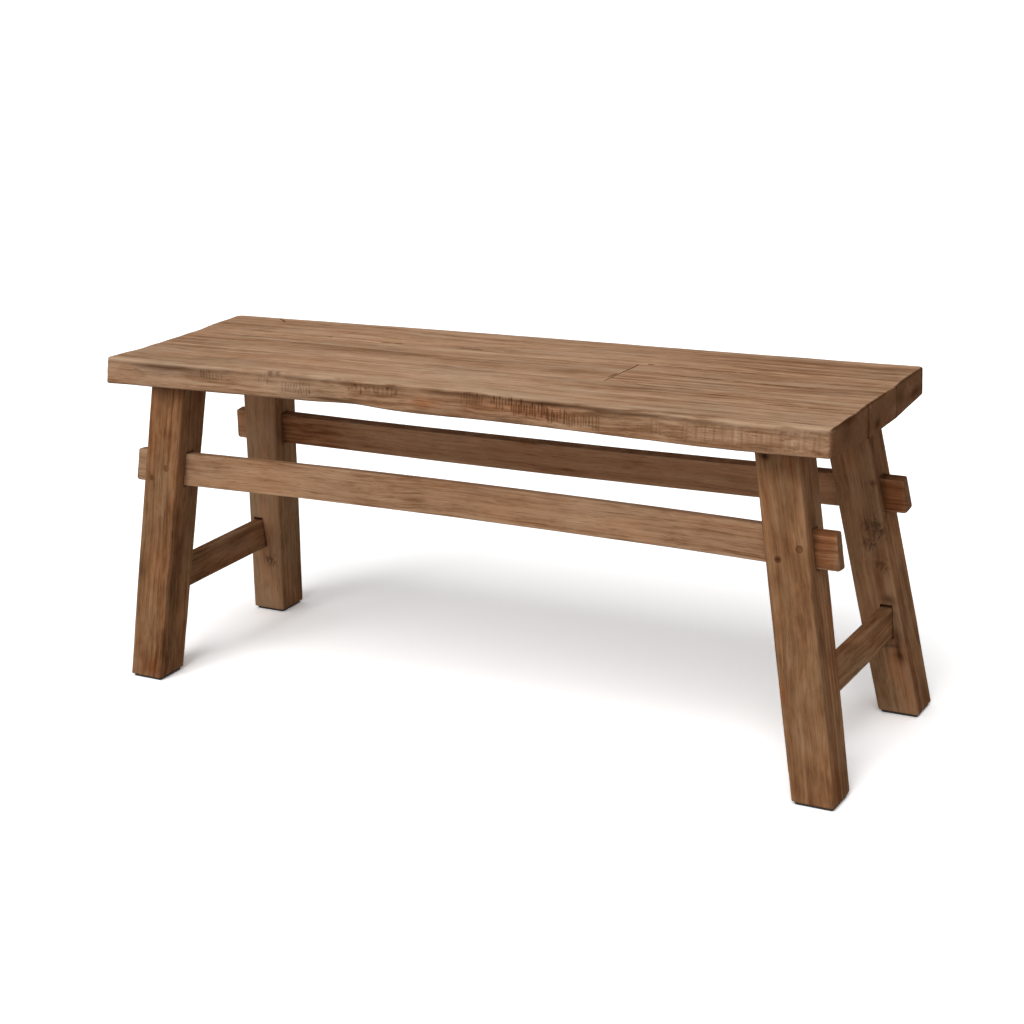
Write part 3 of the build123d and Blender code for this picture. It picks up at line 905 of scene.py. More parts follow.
def makeBoard(node, values):
    start, end = values["span"]
    along = stationsAlong(start, end, values["step"], values["fine"])
    toEnd = np.minimum(along - start, end - along)
    seed = values["seed"]
    isFront, isBack = node == "seat_front_board", node == "seat_back_board"
    front = np.full(len(along), (seat["backSeam"] if isBack else seat["frontSeam"]) + seat["seamGap"])
    back = np.full(len(along), (seat["frontSeam"] if isFront else seat["backSeam"]) - seat["seamGap"])
    radii = np.stack([0.3 + 0.15 * lineNoise(along, 35, seed + 5)] * 4, axis=1)
    lift = foot = 0
    if isFront:
        front = edgeCurve(along) + endInset(toEnd, np.where(along < 0, *values["outerRounds"]))
        front += 1.1 * lineNoise(along, 44, seed) + 0.3
        lift = 3.2 * nearness(along + 125, 55)
        foot = seat["lowerEdge"] - 3.5 * nearness(along + 430, 90) + 4 * nearness(along + 537, 30)
        worn = np.clip(3.4 + 1.8 * lineNoise(along, 60, seed + 6), 2, 6)
        radii[:, 0] = worn * (1 - 0.4 * nearness(along + 525, 25))
        radii[:, 3] = 1.9 + 0.8 * lineNoise(along, 50, seed + 8)
    if isBack:
        back = backLine(along) - endInset(toEnd, np.where(along < 0, *values["outerRounds"]))
        back -= 0.35 + 0.6 * lineNoise(along, 60, seed)
        radii[:, 1] = np.clip(4 + 1.4 * lineNoise(along, 60, seed + 7), 2, 6)
        radii[:, 2] = 2.5 + 0.8 * lineNoise(along, 50, seed + 9)
    rounds = (seat["topRounds"], values["lowRounds"])
    insets = [endInset(toEnd, np.where(along < 0, *pair)) for pair in rounds]
    if not (isFront or isBack):
        # The butt joint's edges are crisp
        fromButt = np.abs(along - seat["butt"])
        insets = [np.where(fromButt < 10, endInset(fromButt, 0.5), inset) for inset in insets]
    top = seat["top"] - insets[0]
    corners = stackCorners(
        (front, top),
        (back, top),
        (back, underside(back) + insets[1]),
        (front - foot, underside(front) + insets[1] + lift),
    )
    outlines = roundedLoops(corners, radii, values["arcs"], values["sides"])
    x = np.repeat(along[:, None], outlines.shape[1], axis=1)
    if isFront:
        # The left end runs out from the seam to the flared corner
        share = limited((seat["frontSeam"] - outlines[:, :, 0]) / (seat["frontSeam"] - seat["flareFront"]))
        pull = limited(1 - (along - start) / seat["flareLength"])[:, None]
        x = x + pull * seat["flare"] * (1 - share)
    share = limited((outlines[:, :, 1] - seat["edgeUnder"]) / (seat["top"] - seat["edgeUnder"])) ** 2
    outlines[:, :, 1] -= share * (seat["planed"] + topDip(outlines[:, :, 0], x))
    piece = meshFromLoops(values["piece"], np.concatenate([x[:, :, None], outlines], axis=2))
    mesh = piece.data
    points, normals = readPoints(mesh), readVertices(mesh, "normal")
    depth = 0.3 * layeredNoise(points, (140, 30, 60), seed)
    depth += 0.14 * layeredNoise(points, (90, 3.4, 3.4), seed + 1, 2)
    if isFront:
        ticks = chatterMarks(points)[0] + 0.1 + 0.55 * layeredNoise(points, (24, 20, 9), seed + 2)
        depth += limited(-normals[:, 1] * 1.6 - 0.4) * ticks
    endFace = np.abs(normals[:, 0]) > 0.8
    depth += endFace * (0.7 + 0.3 * layeredNoise(points, (8, 5, 26), seed + 3, 2))
    pushPoints(mesh, depth)
    if isFront or isBack:
        cutOut(piece, [legTenonBlock(sideX, -1 if isFront else 1) for sideX in (-1, 1)])

    def onFront(x, y):
        return limited((edgeCurve(x) + 3.2 - y) / 1.2)

    def onEnd(x):
        return x > seat["right"] - 2.5

    def nearSeams(y, reach, atFront, atBack):
        front, back = nearness(y - seat["frontSeam"], reach), nearness(y - seat["backSeam"], reach)
        return atFront * front + atBack * back

    def wear(local):
        x, y, z = local.T
        amount = 0.15 * nearness(x - start - 4, 2) + 0.25 * nearness(end - x - 4, 2)
        if isFront:
            behind = y - edgeCurve(x)
            arris = np.hypot(behind, seat["top"] - z)
            amount += nearness(arris - 1.5, 3.2) * (0.8 + 0.6 * layeredNoise(local, (45, 12, 12), seed + 20))
            # a lighter band on the top behind the live edge: partly wear, partly painted highlight where the
            # top tilts towards the light
            shelfWearAndHighlight = nearness(behind - 11, 5) * (z > seat["top"] - 5)
            amount += shelfWearAndHighlight * (0.6 + 0.5 * layeredNoise(local, (70, 30, 30), seed + 24))
            amount += limited(-patchSum(x, z, edgePatches)) * onFront(x, y)
            amount += limited(-chatterMarks(local)[1]) * onFront(x, y)
        if isBack:
            amount += 0.3 * nearness(np.hypot(y - backLine(x), seat["top"] - z) - 6, 3)
        return amount + limited(-patchSum(y, z, endPatches)) * onEnd(x)

    def tone(local):
        x, y, z = local.T
        amount = values["tone"] + 0.05 * layeredNoise(local, (120, 24, 24), seed + 21)
        amount += patchSum(x, y, seatTones) * (z > seat["topFace"])
        if isFront:
            edgeTone = -0.09 + 0.17 * nearness(x + 380, 130) - 0.02 * nearness(x - 130, 70)
            edgeTone += 0.1 * nearness(x - 390, 130) + 0.09 * layeredNoise(local, (30, 30, 11), seed + 22)
            amount = amount + edgeTone * onFront(x, y)
        return amount + onEnd(x) * 0.2 * layeredNoise(local, (16, 16, 12), seed + 23)

    def mark(local):
        x, y, z = local.T
        amount = nearSeams(y, 0.8, 0.2, 0.25)
        amount *= limited(0.3 + layeredNoise(local, (80, 400, 400), seat["seamSeed"]))
        if isFront:
            below = seat["top"] - 6.5 + 1.5 * lineNoise(x, 70, seed + 31)
            line = nearness(z - below, 2.4) * (0.34 + 0.3 * lineNoise(x, 45, seed + 32))
            edge = np.clip(chatterMarks(local)[1], 0, 0.78) + limited(patchSum(x, z, edgePatches))
            # the dark line along the foot of the live edge is painted shade where the edge rounds under
            edge += 0.35 * nearness(z - seat["edgeUnder"], 1.6) + limited(line)
            amount += edge * onFront(x, y)
        elif isBack:
            amount += 0.6 * nearness(np.hypot(y - backLine(x), seat["top"] - 2 - z), 3)
            amount += 0.8 * nearness(np.hypot(x - seat["right"], y - seat["backRight"]), 7)
        else:
            amount += 0.8 * nearness(x - seat["butt"], 0.9) * np.clip((y + 20) / 30, 0.1, 1)
        amount += 1.8 * limited(patchSum(y, z, endPatches)) * onEnd(x)
        amount += 0.75 * nearSeams(y, 1.2, 1, 1) * (onEnd(x) | (x < seat["left"] + 2.5))
        return amount + 0.8 * onEnd(x) * nearness(seat["top"] - 2 - z, 2.2)

    def tint(local):
        x, y, z = local.T
        rust = limited(patchSum(y, z, endPatches, 5)) * onEnd(x)
        return rust + patchSum(x, z, rustSpots) * onFront(x, y) if isFront else rust

    dress(piece, seatWood, node, values["pith"], lambda points: points, wear, tone, mark, tint)


# Legs, rails and stretchers: width and depth lie across the grain, and the rubbed arrises have
# their distance from the corner, reach, least amount and cells of noise

leg = {
    "width": 54,
    "depth": 52,
    "topLevel": 425,
    "topX": 472,
    "topY": 125.5,
    "spreadX": 60,
    "spreadY": 46,
    "foot": 3,
    "arris": 2.4,
    "footRound": 2.6,
    "tenonWidth": 34,
    "tenonDepth": 30,
    "tenonTop": 445,
    "tenonGap": 0.3,
    "cutOver": 12,           # the mortise's cutter is this much longer than the tenon, and stands lower
    "cutDrop": 4,
    "step": 2.6,
    "rubbed": (1, 2.6, 0.45, (50, 9, 9)),
}

rail = {
    "level": 302,
    "width": 45,
    "depth": 15,
    "proud": 29.5,
    "slantFrom": 400,        # the slant of the ends grows from here, over this run
    "slantRun": 60,
    "cutOver": 60,
    "gap": 0.5,
    "arris": 1.6,
    "rubbed": (0.5, 1.8, 0.35, (45, 8, 8)),
}

stretcher = {
    "level": 132,
    "width": 43,
    "depth": 16,
    "outset": 8,
    "tenon": 32,
    "slackAbove": 3,
    "cutLength": 80,
    "cutBeyond": 1,
    "gap": 0.5,
    "arris": 1.6,
    "rubbed": (0.5, 1.8, 0.35, (40, 8, 8)),
}

legRise = leg["topLevel"] - leg["foot"]
splayX = leg["spreadX"] / legRise
splayY = leg["spreadY"] / legRise
lean = math.atan(splayY)
acrossAxes = (Vector((1, 0, 0)), Vector((0, 1, 0)))


def legMiddle(level):
    drop = leg["topLevel"] - level
    return leg["topX"] + drop * splayX - leg["width"] / 2, leg["topY"] + drop * splayY - leg["depth"] / 2


def legTenonBlock(sideX, sideY):
    level = (seat["middleUnder"] + leg["tenonTop"]) / 2
    along, across = legMiddle(level)
    up = Vector((-sideX * splayX, -sideY * splayY, 1))
    gap = 2 * leg["tenonGap"]
    height = leg["tenonTop"] - seat["middleUnder"] + leg["cutOver"]
    middle = (sideX * along, sideY * across, level - leg["cutDrop"])
    return makeBlock(middle, (*acrossAxes, up), (leg["tenonWidth"] + gap, leg["tenonDepth"] + gap, height))


def railAxes(sideY):
    up = Vector((0, -sideY * math.sin(lean), math.cos(lean)))
    out = Vector((0, -math.cos(lean), -sideY * math.sin(lean)))
    return Vector((1, 0, 0)), up, out


def railBlock(sideX, sideY):
    along, across = legMiddle(rail["level"])
    size = (leg["width"] + rail["cutOver"], rail["width"] + 2 * rail["gap"], rail["depth"] + 2 * rail["gap"])
    return makeBlock((sideX * along, sideY * across, rail["level"]), railAxes(sideY), size)


def stretcherBlock(sideX, sideY):
    along, across = legMiddle(stretcher["level"])
    along += stretcher["outset"]
    reach = across - leg["depth"] / 2 + stretcher["tenon"] + stretcher["cutBeyond"]
    reach -= stretcher["cutLength"] / 2
    height = stretcher["width"] + 2 * stretcher["gap"] + stretcher["slackAbove"]
    middle = (sideX * along, sideY * reach, stretcher["level"] + stretcher["slackAbove"] / 2)
    size = (stretcher["depth"] + 2 * stretcher["gap"], stretcher["cutLength"], height)
    return makeBlock(middle, (*acrossAxes, Vector((0, 0, 1))), size)


def arrisGap(local, part):
    return np.hypot(part["width"] / 2 - np.abs(local[:, 1]), part["depth"] / 2 - np.abs(local[:, 2]))


def arrisWear(local, part, seed):
    inset, reach, least, cells = part["rubbed"]
    amount = nearness(arrisGap(local, part) - inset, reach)
    return amount * (least + 0.5 * layeredNoise(local, cells, seed + 20))


# Patches on a leg: height, place to the right and back from its middle line, reach, darkness, rust
# the front tone lightens the back legs' front faces: painted light against the seat's shade
legs = {
    "leg_front_left": {
        "piece": "legFrontLeft", "side": (-1, -1), "pith": (900, 40, 62), "seed": 101, "tone": 0.02,
        "frontPaintedLight": 0,
        "patches": (
            (371, 27, -3, (42, 6, 14), 0.35, 0.3),
            (396, 27, 8, (16, 6, 12), 0.3, 0.2),
            (172, 27, -1, (50, 4, 3), 0.35, 0.0),
            (119, 27, -17, (30, 5, 5), 0.4, 0.0),
            (345, -20, -26, (30, 6, 6), 0.2, 0.4),
            (20, 10, -26, (14, 14, 6), 0.25, 0.5),
        ),
    },
    "leg_front_right": {
        "piece": "legFrontRight", "side": (1, -1), "pith": (1900, -18, 70), "seed": 113, "tone": 0.0,
        "frontPaintedLight": 0,
        "patches": (
            # this darkest patch, at the top under the seat, is painted shade of a gap between leg and seat
            (411, -15, -26, (5.5, 6, 7), 1.1, 0.0),
            (400, 16, -26, (14, 10, 7), 0.3, 0.3),
            (134, -23, -26, (22, 5, 6), 0.3, 0.6),
            (232, 27, 24, (30, 5, 8), 0.3, 0.5),
            (378, 27, 10, (30, 6, 14), 0.35, 0.3),
            (337, 27, -8, (14, 5, 8), 0.4, 0.2),
            (30, 27, -6, (20, 5, 10), 0.3, 0.5),
        ),
    },
    "leg_back_left": {
        "piece": "legBackLeft", "side": (-1, 1), "pith": (2900, 34, 48), "seed": 127, "tone": 0.08,
        "frontPaintedLight": 0.3,
        "patches": (
            (89, 9, -26, (14, 10, 6), 0.2, 0.2),
            (45, -2, -26, (8, 6, 6), 0.25, 0.2),
            (380, 27, -10, (30, 5, 14), 0.4, 0.3),
        ),
    },
    "leg_back_right": {
        "piece": "legBackRight", "side": (1, 1), "pith": (3900, 66, 20), "seed": 139, "tone": -0.02,
        "frontPaintedLight": 0.2,
        "patches": (
            (388, 4, -26, (12, 18, 8), 0.45, 0.3),
            (262, 12, -26, (28, 11, 6), 0.45, 0.25),
            (322, 24, -26, (4, 4, 6), 0.7, 0.4),
            (215, 16, -26, (18, 10, 6), 0.4, 0.3),
            (186, 8, -26, (28, 6, 6), 0.5, 0.4),
            (164, 18, -26, (7, 10, 6), 0.7, 0.2),
            (100, 17, -26, (24, 3.6, 6), 0.8, 0.2),
            (114, 10, -26, (12, 13, 6), 0.35, 0.35),
            (86, 14, -26, (11, 11, 6), 0.4, 0.4),
            (100, 0, -26, (2.6, 20, 6), 0.6, 0.0),
            (158, 27, -8, (34, 5, 6), 0.6, 0.2),
            (112, 27, -20, (34, 5, 7), 0.5, 0.3),
            (55, 27, -16, (34, 5, 9), 0.45, 0.3),
            (30, -14, -26, (20, 8, 6), 0.25, 0.3),
            (62, 4, -26, (18, 14, 6), 0.15, 0.3),
        ),
    },
}


def makeLeg(node, values):
    sideX, sideY = values["side"]
    seed, shoulder = values["seed"], leg["topLevel"]
    levels = stationsAlong(leg["foot"], shoulder, leg["step"])
    toFoot = levels - leg["foot"]
    inset = endInset(toFoot, leg["footRound"])
    radius = np.clip(leg["arris"] + 0.9 * lineNoise(levels, 60, seed), 1.6, 5)
    # The tenon on top, level at its end and slanting with the seat's underside at its root
    tenonLevels = np.array([shoulder, shoulder + 3, shoulder + 10, leg["tenonTop"] - 1, leg["tenonTop"]])
    tenonInset = np.array([0, 0, 0, 0, 1])
    levels = np.concatenate([levels, tenonLevels])
    halfWidth = np.concatenate([leg["width"] / 2 - inset, leg["tenonWidth"] / 2 - tenonInset])
    halfDepth = np.concatenate([leg["depth"] / 2 - inset, leg["tenonDepth"] / 2 - tenonInset])
    radius = np.concatenate([radius, np.ones(5)])
    tilt = np.concatenate([toFoot / legRise, [1, 0.8, 0.3, 0, 0]])
    radii = [radius * (1 + 0.25 * lineNoise(levels, 45, seed + 1 + index)) for index in range(4)]
    corners = boxCorners(halfWidth, halfDepth)
    outlines = roundedLoops(corners, np.stack(radii, axis=1), (5, 5, 5, 5), (16, 16, 16, 16))
    along, across = legMiddle(levels)
    x = sideX * along[:, None] + outlines[:, :, 0]
    y = sideY * across[:, None] + outlines[:, :, 1]
    z = levels[:, None] + tilt[:, None] * (underside(y) - shoulder)
    piece = meshFromLoops(values["piece"], np.stack([x, y, z], axis=2))

    def toGrain(points):
        x, y, z = points.T
        middleX, middleY = legMiddle(z)
        return np.stack([z, x - sideX * middleX, y - sideY * middleY], axis=1)

    local = toGrain(readPoints(piece.data))
    height = local[:, 0]
    depth = 0.4 * layeredNoise(local, (90, 24, 24), seed) - 0.3 * limited((height - 60) / 60)
    depth += 0.1 * layeredNoise(local, (70, 3.2, 3.2), seed + 5, 2)
    depth = np.where(height < 40, np.clip(depth, 0.05, None), depth)
    chip = nearness(height - leg["foot"], 7) * limited(layeredNoise(local, (9, 9, 9), seed + 6) - 0.1)
    depth += 3.2 * chip * nearness(arrisGap(local, leg), 12)
    depth *= height < shoulder - 1.5
    pushPoints(piece.data, depth)
    cutOut(piece, [railBlock(sideX, sideY), stretcherBlock(sideX, sideY)])

    def patches(local, column):
        total = np.zeros(len(local))
        for patch in values["patches"]:
            step = (local - np.array(patch[:3])) / np.array(patch[3])
            total += patch[column] * nearness(np.linalg.norm(step, axis=1), 1)
        return total

    def wear(local):
        return arrisWear(local, leg, seed) + 0.25 * nearness(local[:, 0] - leg["foot"], 6)

    def tone(local):
        amount = values["tone"] + 0.07 * layeredNoise(local, (110, 22, 22), seed + 21)
        # the front face is painted lighter, as painted light that makes up for the seat's shade on the back
        # legs
        amount += values["frontPaintedLight"] * (local[:, 2] < 2 - leg["depth"] / 2)
        return amount + 0.06 * layeredNoise(local, (24, 14, 14), seed + 23)

    def mark(local):
        # Darkening where the rail enters, partly dirt in the joint and partly painted contact shade; painted
        # shade at the top under the seat; and the leg's own patches, some where the stretcher enters
        level, right, behind = local.T
        fromRail = np.clip(np.abs(level - rail["level"]) - rail["width"] / 2, 0, None)
        outside = np.hypot(fromRail, np.clip(np.abs(behind) - rail["depth"] / 2, 0, None))
        # round the rail's mortise: partly dirt in the joint, partly painted contact shade
        amount = 0.7 * nearness(outside, 2.2) * (np.abs(right) > leg["width"] / 2 - 3)
        # the band at the top of the leg, just under the seat, is painted shade
        amount += 0.45 * nearness(seat["edgeUnder"] - 3 - level, 7) + patches(local, 4)
        return amount * limited(0.8 + 0.5 * layeredNoise(local, (12, 12, 12), seed + 22))

    def tint(local):
        return patches(local, 5)

    dress(piece, legWood, node, values["pith"], toGrain, wear, tone, mark, tint)


rails = {
    # the top setting is how dark the painted shade from the seat is on each rail's top face
    "rail_front": {
        "piece": "railFront", "side": -1, "crook": 4.5, "lowerRound": (5.0, 4.0), "upperRound": 2,
        "pith": (5600, 50, 22), "seed": 201, "tone": 0.03, "tint": 0.0, "topPaintedShade": 0.15,
    },
    "rail_back": {
        # the back rail's higher tone is partly painted light, which makes up for the seat's shade on it
        "piece": "railBack", "side": 1, "crook": -2.5, "lowerRound": (5.0, 8.0), "upperRound": 2,
        "pith": (6800, -44, 30), "seed": 213, "tone": 0.12, "tint": 0.32, "topPaintedShade": 0.65,
    },
}


def makeRail(node, values):
    sideY, seed = values["side"], values["seed"]
    legAlong, across = legMiddle(rail["level"])
    half, halfThick = rail["width"] / 2, rail["depth"] / 2
    reach = legAlong + leg["width"] / 2 + rail["proud"]
    bend = legAlong - leg["width"] / 2
    slant = half * math.cos(lean) * splayX
    along = stationsAlong(-reach - slant, reach + slant, 3)
    toEnd = np.minimum(along - along[0], along[-1] - along)
    top = half - endInset(toEnd, values["upperRound"])
    bottom = -half + endInset(toEnd, np.where(along < 0, *values["lowerRound"]))
    thin = halfThick - endInset(toEnd, 1.3)
    corners = stackCorners((top, -thin), (top, thin), (bottom, thin), (bottom, -thin))
    radius = np.clip(rail["arris"] + 0.5 * lineNoise(along, 50, seed), 0.8, 2.6)
    outlines = roundedLoops(corners, np.stack([radius] * 4, axis=1), (4, 4, 4, 4), (6, 16, 6, 16))
    up, out = outlines[:, :, 0], outlines[:, :, 1]
    ends = limited((np.abs(along) - rail["slantFrom"]) / rail["slantRun"])[:, None]
    x = along[:, None] - np.sign(along)[:, None] * slant * (1 + up / half) * ends
    axes = [np.array(axis) for axis in railAxes(sideY)]
    origin = np.array((0, sideY * across, rail["level"]))

    def bow(places):
        return values["crook"] * limited(1 - (places / bend) ** 2)

    raised = (up + bow(along)[:, None])[:, :, None]
    loops = origin + x[:, :, None] * axes[0] + raised * axes[1] + out[:, :, None] * axes[2]
    piece = meshFromLoops(values["piece"], loops)

    def toGrain(points):
        step = points - origin
        return np.stack([points[:, 0], step @ axes[1] - bow(points[:, 0]), step @ axes[2]], axis=1)

    local = toGrain(readPoints(piece.data))
    depth = 0.25 * layeredNoise(local, (110, 22, 22), seed + 1)
    depth += 0.1 * layeredNoise(local, (80, 3, 3), seed + 2, 2)
    pushPoints(piece.data, depth)

    def wear(local):
        return arrisWear(local, rail, seed) + 0.3 * nearness(reach - np.abs(local[:, 0]), 4)

    def tone(local):
        x = local[:, 0]
        amount = values["tone"] + 0.05 * layeredNoise(local, (120, 18, 18), seed + 21)
        amount += 0.05 * layeredNoise(local, (30, 10, 10), seed + 22)
        amount -= 0.05 * nearness(np.abs(x) - bend, 26) + 0.06 * nearness(x - 40, 260)
        amount -= 0.7 * values["tint"] * nearness(x + 400, 110)
        return amount - (0.26 + 0.16 * values["tint"]) * (x > legAlong)

    def mark(local):
        x, y, z = np.abs(local).T
        # dark band where the rail meets the legs: partly dirt in the joint, partly painted contact shade
        amount = 0.6 * nearness(np.abs(x - legAlong) - leg["width"] / 2, 3.6)
        # the rail's top face is darkened with painted shade from the seat above
        amount += values["topPaintedShade"] * (local[:, 1] > half - 1.2)
        amount += 0.5 * nearness(np.hypot(reach - x, np.minimum(half - y, halfThick - z)), 2.2)
        return amount * limited(0.8 + 0.5 * layeredNoise(local, (14, 14, 14), seed + 22))

    def tint(local):
        stain = values["tint"] * (1 + 0.4 * nearness(local[:, 0] + 400, 110))
        atEnd = local[:, 0] > legAlong + leg["width"] / 2 - 2
        return np.maximum(stain, (0.4 + 0.4 * values["tint"]) * atEnd)

    dress(piece, railWood, node, values["pith"], toGrain, wear, tone, mark, tint)


stretchers = {
    "stretcher_left": {
        "piece": "stretcherLeft", "side": -1, "pith": (7900, 26, 44), "seed": 301, "tone": -0.01,
    },
    "stretcher_right": {
        "piece": "stretcherRight", "side": 1, "pith": (8800, -30, 36), "seed": 311, "tone": 0.04,
    },
}


def makeStretcher(node, values):
    seed = values["seed"]
    legAlong, legAcross = legMiddle(stretcher["level"])
    middleX = values["side"] * (legAlong + stretcher["outset"])
    inner = legAcross - leg["depth"] / 2
    reach = inner + stretcher["tenon"]
    across = stationsAlong(-reach, reach, 3)
    inset = endInset(np.minimum(across + reach, reach - across), 1.2)
    corners = boxCorners(stretcher["depth"] / 2 - inset, stretcher["width"] / 2 - inset)
    radius = np.clip(stretcher["arris"] + 0.5 * lineNoise(across, 40, seed), 0.8, 2.6)
    outlines = roundedLoops(corners, np.stack([radius] * 4, axis=1), (4, 4, 4, 4), (6, 14, 6, 14))
    y = np.repeat(across[:, None], outlines.shape[1], axis=1)
    loops = np.stack([outlines[:, :, 0] + middleX, y, outlines[:, :, 1] + stretcher["level"]], axis=2)
    piece = meshFromLoops(values["piece"], loops)

    def toGrain(points):
        return np.stack([points[:, 1], points[:, 2] - stretcher["level"], points[:, 0] - middleX], axis=1)

    local = toGrain(readPoints(piece.data))
    depth = 0.25 * layeredNoise(local, (90, 20, 20), seed + 1)
    depth += 0.1 * layeredNoise(local, (60, 3, 3), seed + 2, 2)
    pushPoints(piece.data, depth)

    def wear(local):
        return arrisWear(local, stretcher, seed)

    def tone(local):
        return values["tone"] + 0.06 * layeredNoise(local, (90, 16, 16), seed + 21)

    def mark(local):
        # dark band where the stretcher enters the legs: partly dirt in the joint, partly painted contact
        # shade
        return 0.6 * nearness(np.abs(local[:, 0]) - inner, 3)

    dress(piece, legWood, node, values["pith"], toGrain, wear, tone, mark)


for pieces, makePiece in (
    (boards, makeBoard), (legs, makeLeg), (rails, makeRail), (stretchers, makeStretcher)
):
    for node, values in pieces.items():
        makePiece(node, values)


# Pegs, by Geometry Nodes on the two places of each leg

pegs = {
    "radius": 4.5,
    "length": 43.3,
    "proud": 0.8,
    "halfPitch": 13,
    "halfStagger": 7.5,
    "outset": 3,
    "drop": 4.5,
    "dome": 0.35,
    "rough": 0.12,
    "apart": 300,            # between the two pegs' stretches of grain
    "faces": {"Vertices": 40, "Side Segments": 30, "Fill Segments": 8},
    "leftDark": 0.35,        # how dark the marks on the left legs' pegs are, against the right ones
}


def makePegTree(finish):
    # A dowel with a domed, slightly ragged head, set on each point of the mesh it is given
    tree = bpy.data.node_groups.new("drivenPegs", "GeometryNodeTree")
    for direction in ("OUTPUT", "INPUT"):
        tree.interface.new_socket(name="Geometry", in_out=direction, socket_type="NodeSocketGeometry")
    inputs = {"Radius": 0.0, "Length": 0.0, "Dome": 0.0, "Rough": 0.0, "Turn": anyPlace, "Seed": 0}
    identifiers = addInputs(tree, inputs)
    given = addNode(tree, "NodeGroupInput").outputs
    inputs = dict(pegs["faces"], Radius=given["Radius"], Depth=given["Length"])
    dowel = addNode(tree, "GeometryNodeMeshCylinder", inputs, fill_type="TRIANGLE_FAN")
    split = addNode(tree, "ShaderNodeSeparateXYZ", {0: addNode(tree, "GeometryNodeInputPosition").outputs[0]})
    flat = joinVector(tree, X=split.outputs["X"], Y=split.outputs["Y"])
    fromAxis = maths(tree, "DIVIDE", vectorMaths(tree, "LENGTH", flat), given["Radius"])
    atHead = maths(tree, "GREATER_THAN", split.outputs["Z"], maths(tree, "MULTIPLY", given["Length"], 0.499))
    sunk = maths(tree, "MULTIPLY", maths(tree, "POWER", fromAxis, 4.0), given["Dome"])
    sunk = maths(tree, "MULTIPLY", maths(tree, "MULTIPLY", sunk, atHead), -1.0)
    inputs = {"W": given["Seed"], "Scale": 900.0, "Detail": 2.0}
    ragged = addNode(tree, "ShaderNodeTexNoise", inputs, noise_dimensions="4D")
    uneven = maths(tree, "MULTIPLY", maths(tree, "SUBTRACT", ragged.outputs[0], 1.0), given["Rough"])
    lift = joinVector(tree, Z=maths(tree, "MULTIPLY_ADD", uneven, atHead, sunk))
    inputs = {"Geometry": dowel.outputs["Mesh"], "Offset": lift}
    shaped = addNode(tree, "GeometryNodeSetPosition", inputs)
    # Input 3 is the highest value, a full turn, so no two ragged heads look alike
    spin = addNode(tree, "FunctionNodeRandomValue", {3: 6.283, "Seed": given["Seed"]}, data_type="FLOAT")
    inputs = {"Points": given["Geometry"], "Instance": shaped.outputs["Geometry"], "Rotation": given["Turn"]}
    placed = addNode(tree, "GeometryNodeInstanceOnPoints", inputs)
    inputs = {"Instances": placed.outputs["Instances"], "Rotation": joinVector(tree, Z=spin.outputs[1])}
    spun = addNode(tree, "GeometryNodeRotateInstances", inputs)
    realized = addNode(tree, "GeometryNodeRealizeInstances", {"Geometry": spun.outputs["Instances"]})
    inputs = {"Geometry": realized.outputs["Geometry"], "Material": finish}
    painted = addNode(tree, "GeometryNodeSetMaterial", inputs)
    addNode(tree, "NodeGroupOutput", {"Geometry": painted.outputs["Geometry"]})
    return tree, identifiers


pegTree, pegInputs = makePegTree(pegWood)


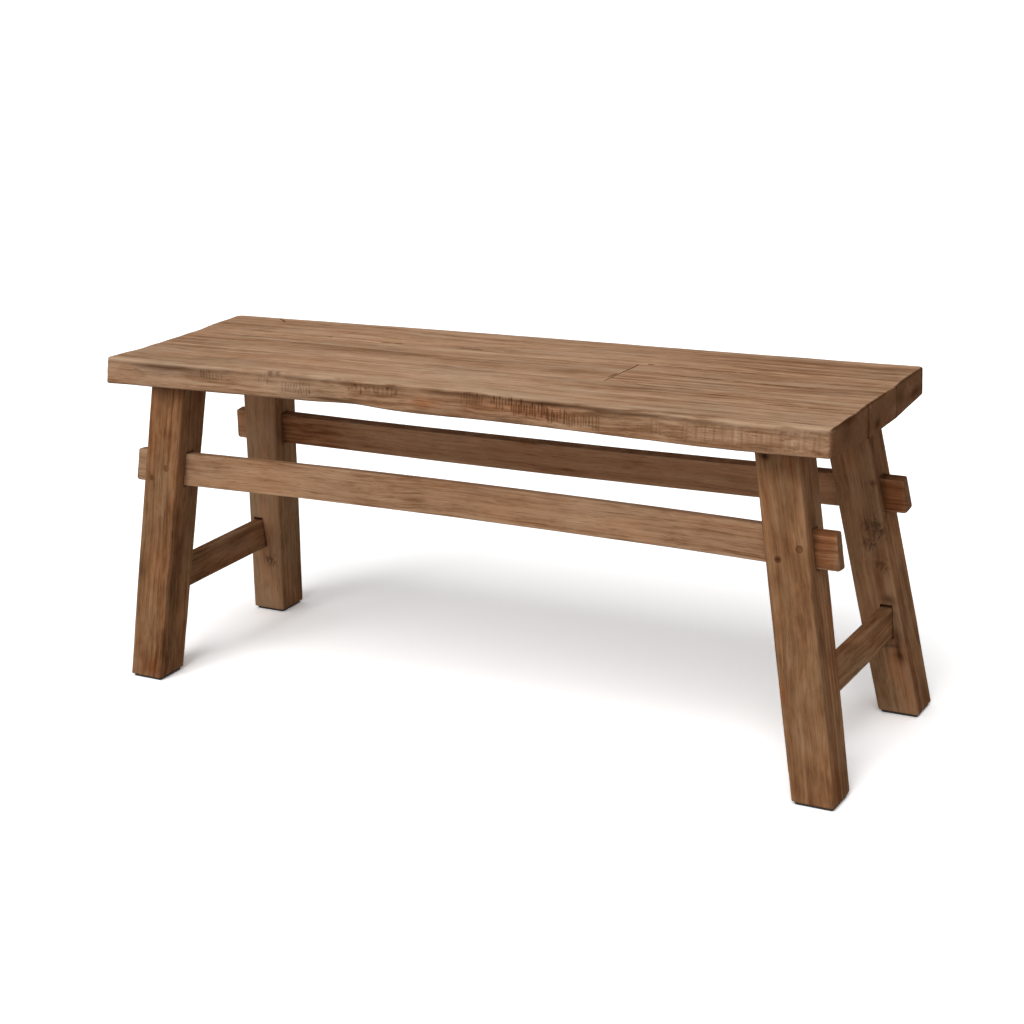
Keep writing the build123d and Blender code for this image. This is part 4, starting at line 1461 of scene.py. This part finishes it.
def makePegs(node, name, sideX, sideY, seed):
    along, across = legMiddle(rail["level"])
    axes = [np.array(axis) for axis in railAxes(sideY)]
    outward = axes[2] * -sideY
    origin = np.array((0, sideY * across, rail["level"]))
    pair = sideX * (along + pegs["outset"])
    heads = leg["depth"] / 2 * math.cos(lean) + pegs["proud"]
    centres = []
    for side in (-1, 1):
        step = axes[0] * (pair + side * pegs["halfPitch"])
        step = step + axes[1] * (side * pegs["halfStagger"] - pegs["drop"])
        centres.append(origin + step + outward * (heads - pegs["length"] / 2))
    mesh = bpy.data.meshes.new(name)
    mesh.from_pydata([tuple(centre * mm) for centre in centres], [], [])
    piece = placeObject(name, mesh)
    nodes = piece.modifiers.new("pegs", "NODES")
    nodes.node_group = pegTree
    for label in ("Radius", "Length", "Dome", "Rough"):
        nodes[pegInputs[label]] = pegs[label.lower()] * mm
    nodes[pegInputs["Turn"]] = tuple(Vector(outward).to_track_quat("Z", "Y").to_euler())
    nodes[pegInputs["Seed"]] = seed
    applyModifiers(piece)

    def toGrain(points):
        which = np.argmin([np.linalg.norm(points - centre, axis=1) for centre in centres], axis=0)
        step = points - np.array(centres)[which]
        return np.stack([step @ outward + pegs["apart"] * which, step @ axes[0], step @ axes[1]], axis=1)

    def isUpper(local):
        return local[:, 0] > pegs["apart"] / 2

    def wear(local):
        # The upper dowel is lighter in a spot to one side
        return 0.6 * nearness(np.hypot(local[:, 1] - 1.6, local[:, 2] + 1.6), 2.2) * isUpper(local)

    def tone(local):
        return 0.04 * layeredNoise(local, (3, 3, 3), seed + 30)

    def mark(local):
        # The lower dowel has a dark heart, the upper one a shaded rim
        radius = np.hypot(local[:, 1], local[:, 2])
        rim = nearness(radius - pegs["radius"], 0.9)
        crescent = rim * np.clip(0.5 + (local[:, 2] - local[:, 1]) / 9, 0.15, 1)
        heart = 0.85 * nearness(radius, 2.7) + 0.2 * rim
        darkness = pegs["leftDark"] if sideX < 0 else 1.0
        return darkness * np.where(isUpper(local), 0.6 * crescent + 0.08, heart)

    dress(piece, pegWood, node, (seed * 13.0, 0, 0), toGrain, wear, tone, mark)


places = {"front_left": (-1, -1), "front_right": (1, -1), "back_left": (-1, 1), "back_right": (1, 1)}
for number, (place, sides) in enumerate(places.items()):
    makePegs("rail_pegs_" + place, "railPegs" + place.title().replace("_", ""), *sides, 5 + number)


# Rubber pads under the feet

pad = {
    "levels": (0, 0.08, 0.2, 0.5, 1.2, 2.2, 2.6, 2.85, 3.0),
    "inset": 3,
    "cornerRound": 3.0,
    "edgeRound": 0.5,
}


def makePad(node, name, sideX, sideY):
    levels = np.array(pad["levels"])
    middleX, middleY = legMiddle(leg["foot"])
    inset = pad["inset"] + endInset(np.minimum(levels, levels[-1] - levels), pad["edgeRound"])
    corners = boxCorners(leg["width"] / 2 - inset, leg["depth"] / 2 - inset)
    radii = np.full((len(levels), 4), pad["cornerRound"])
    outlines = roundedLoops(corners, radii, (8, 8, 8, 8), (10, 10, 10, 10))
    z = np.repeat(levels[:, None], outlines.shape[1], axis=1)
    loops = np.stack([outlines[:, :, 0] + sideX * middleX, outlines[:, :, 1] + sideY * middleY, z], axis=2)
    declare(meshFromLoops(name, loops), padRubber, node, sharpFrom["rubber"])


for place, sides in places.items():
    makePad("foot_pad_" + place, "footPad" + place.title().replace("_", ""), *sides)

# The dowels hidden in the seat keep the frame's own shape
for node, finish in (
    ("seat_dowels_front_seam", crossDowelWood),
    ("seat_dowels_back_seam", crossDowelWood),
    ("seat_dowels_butt_joint", longDowelWood),
):
    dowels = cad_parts[node]
    dowels.data.materials.clear()
    dowels.data.materials.append(finish)
print("pegs, pads and dowels ready")
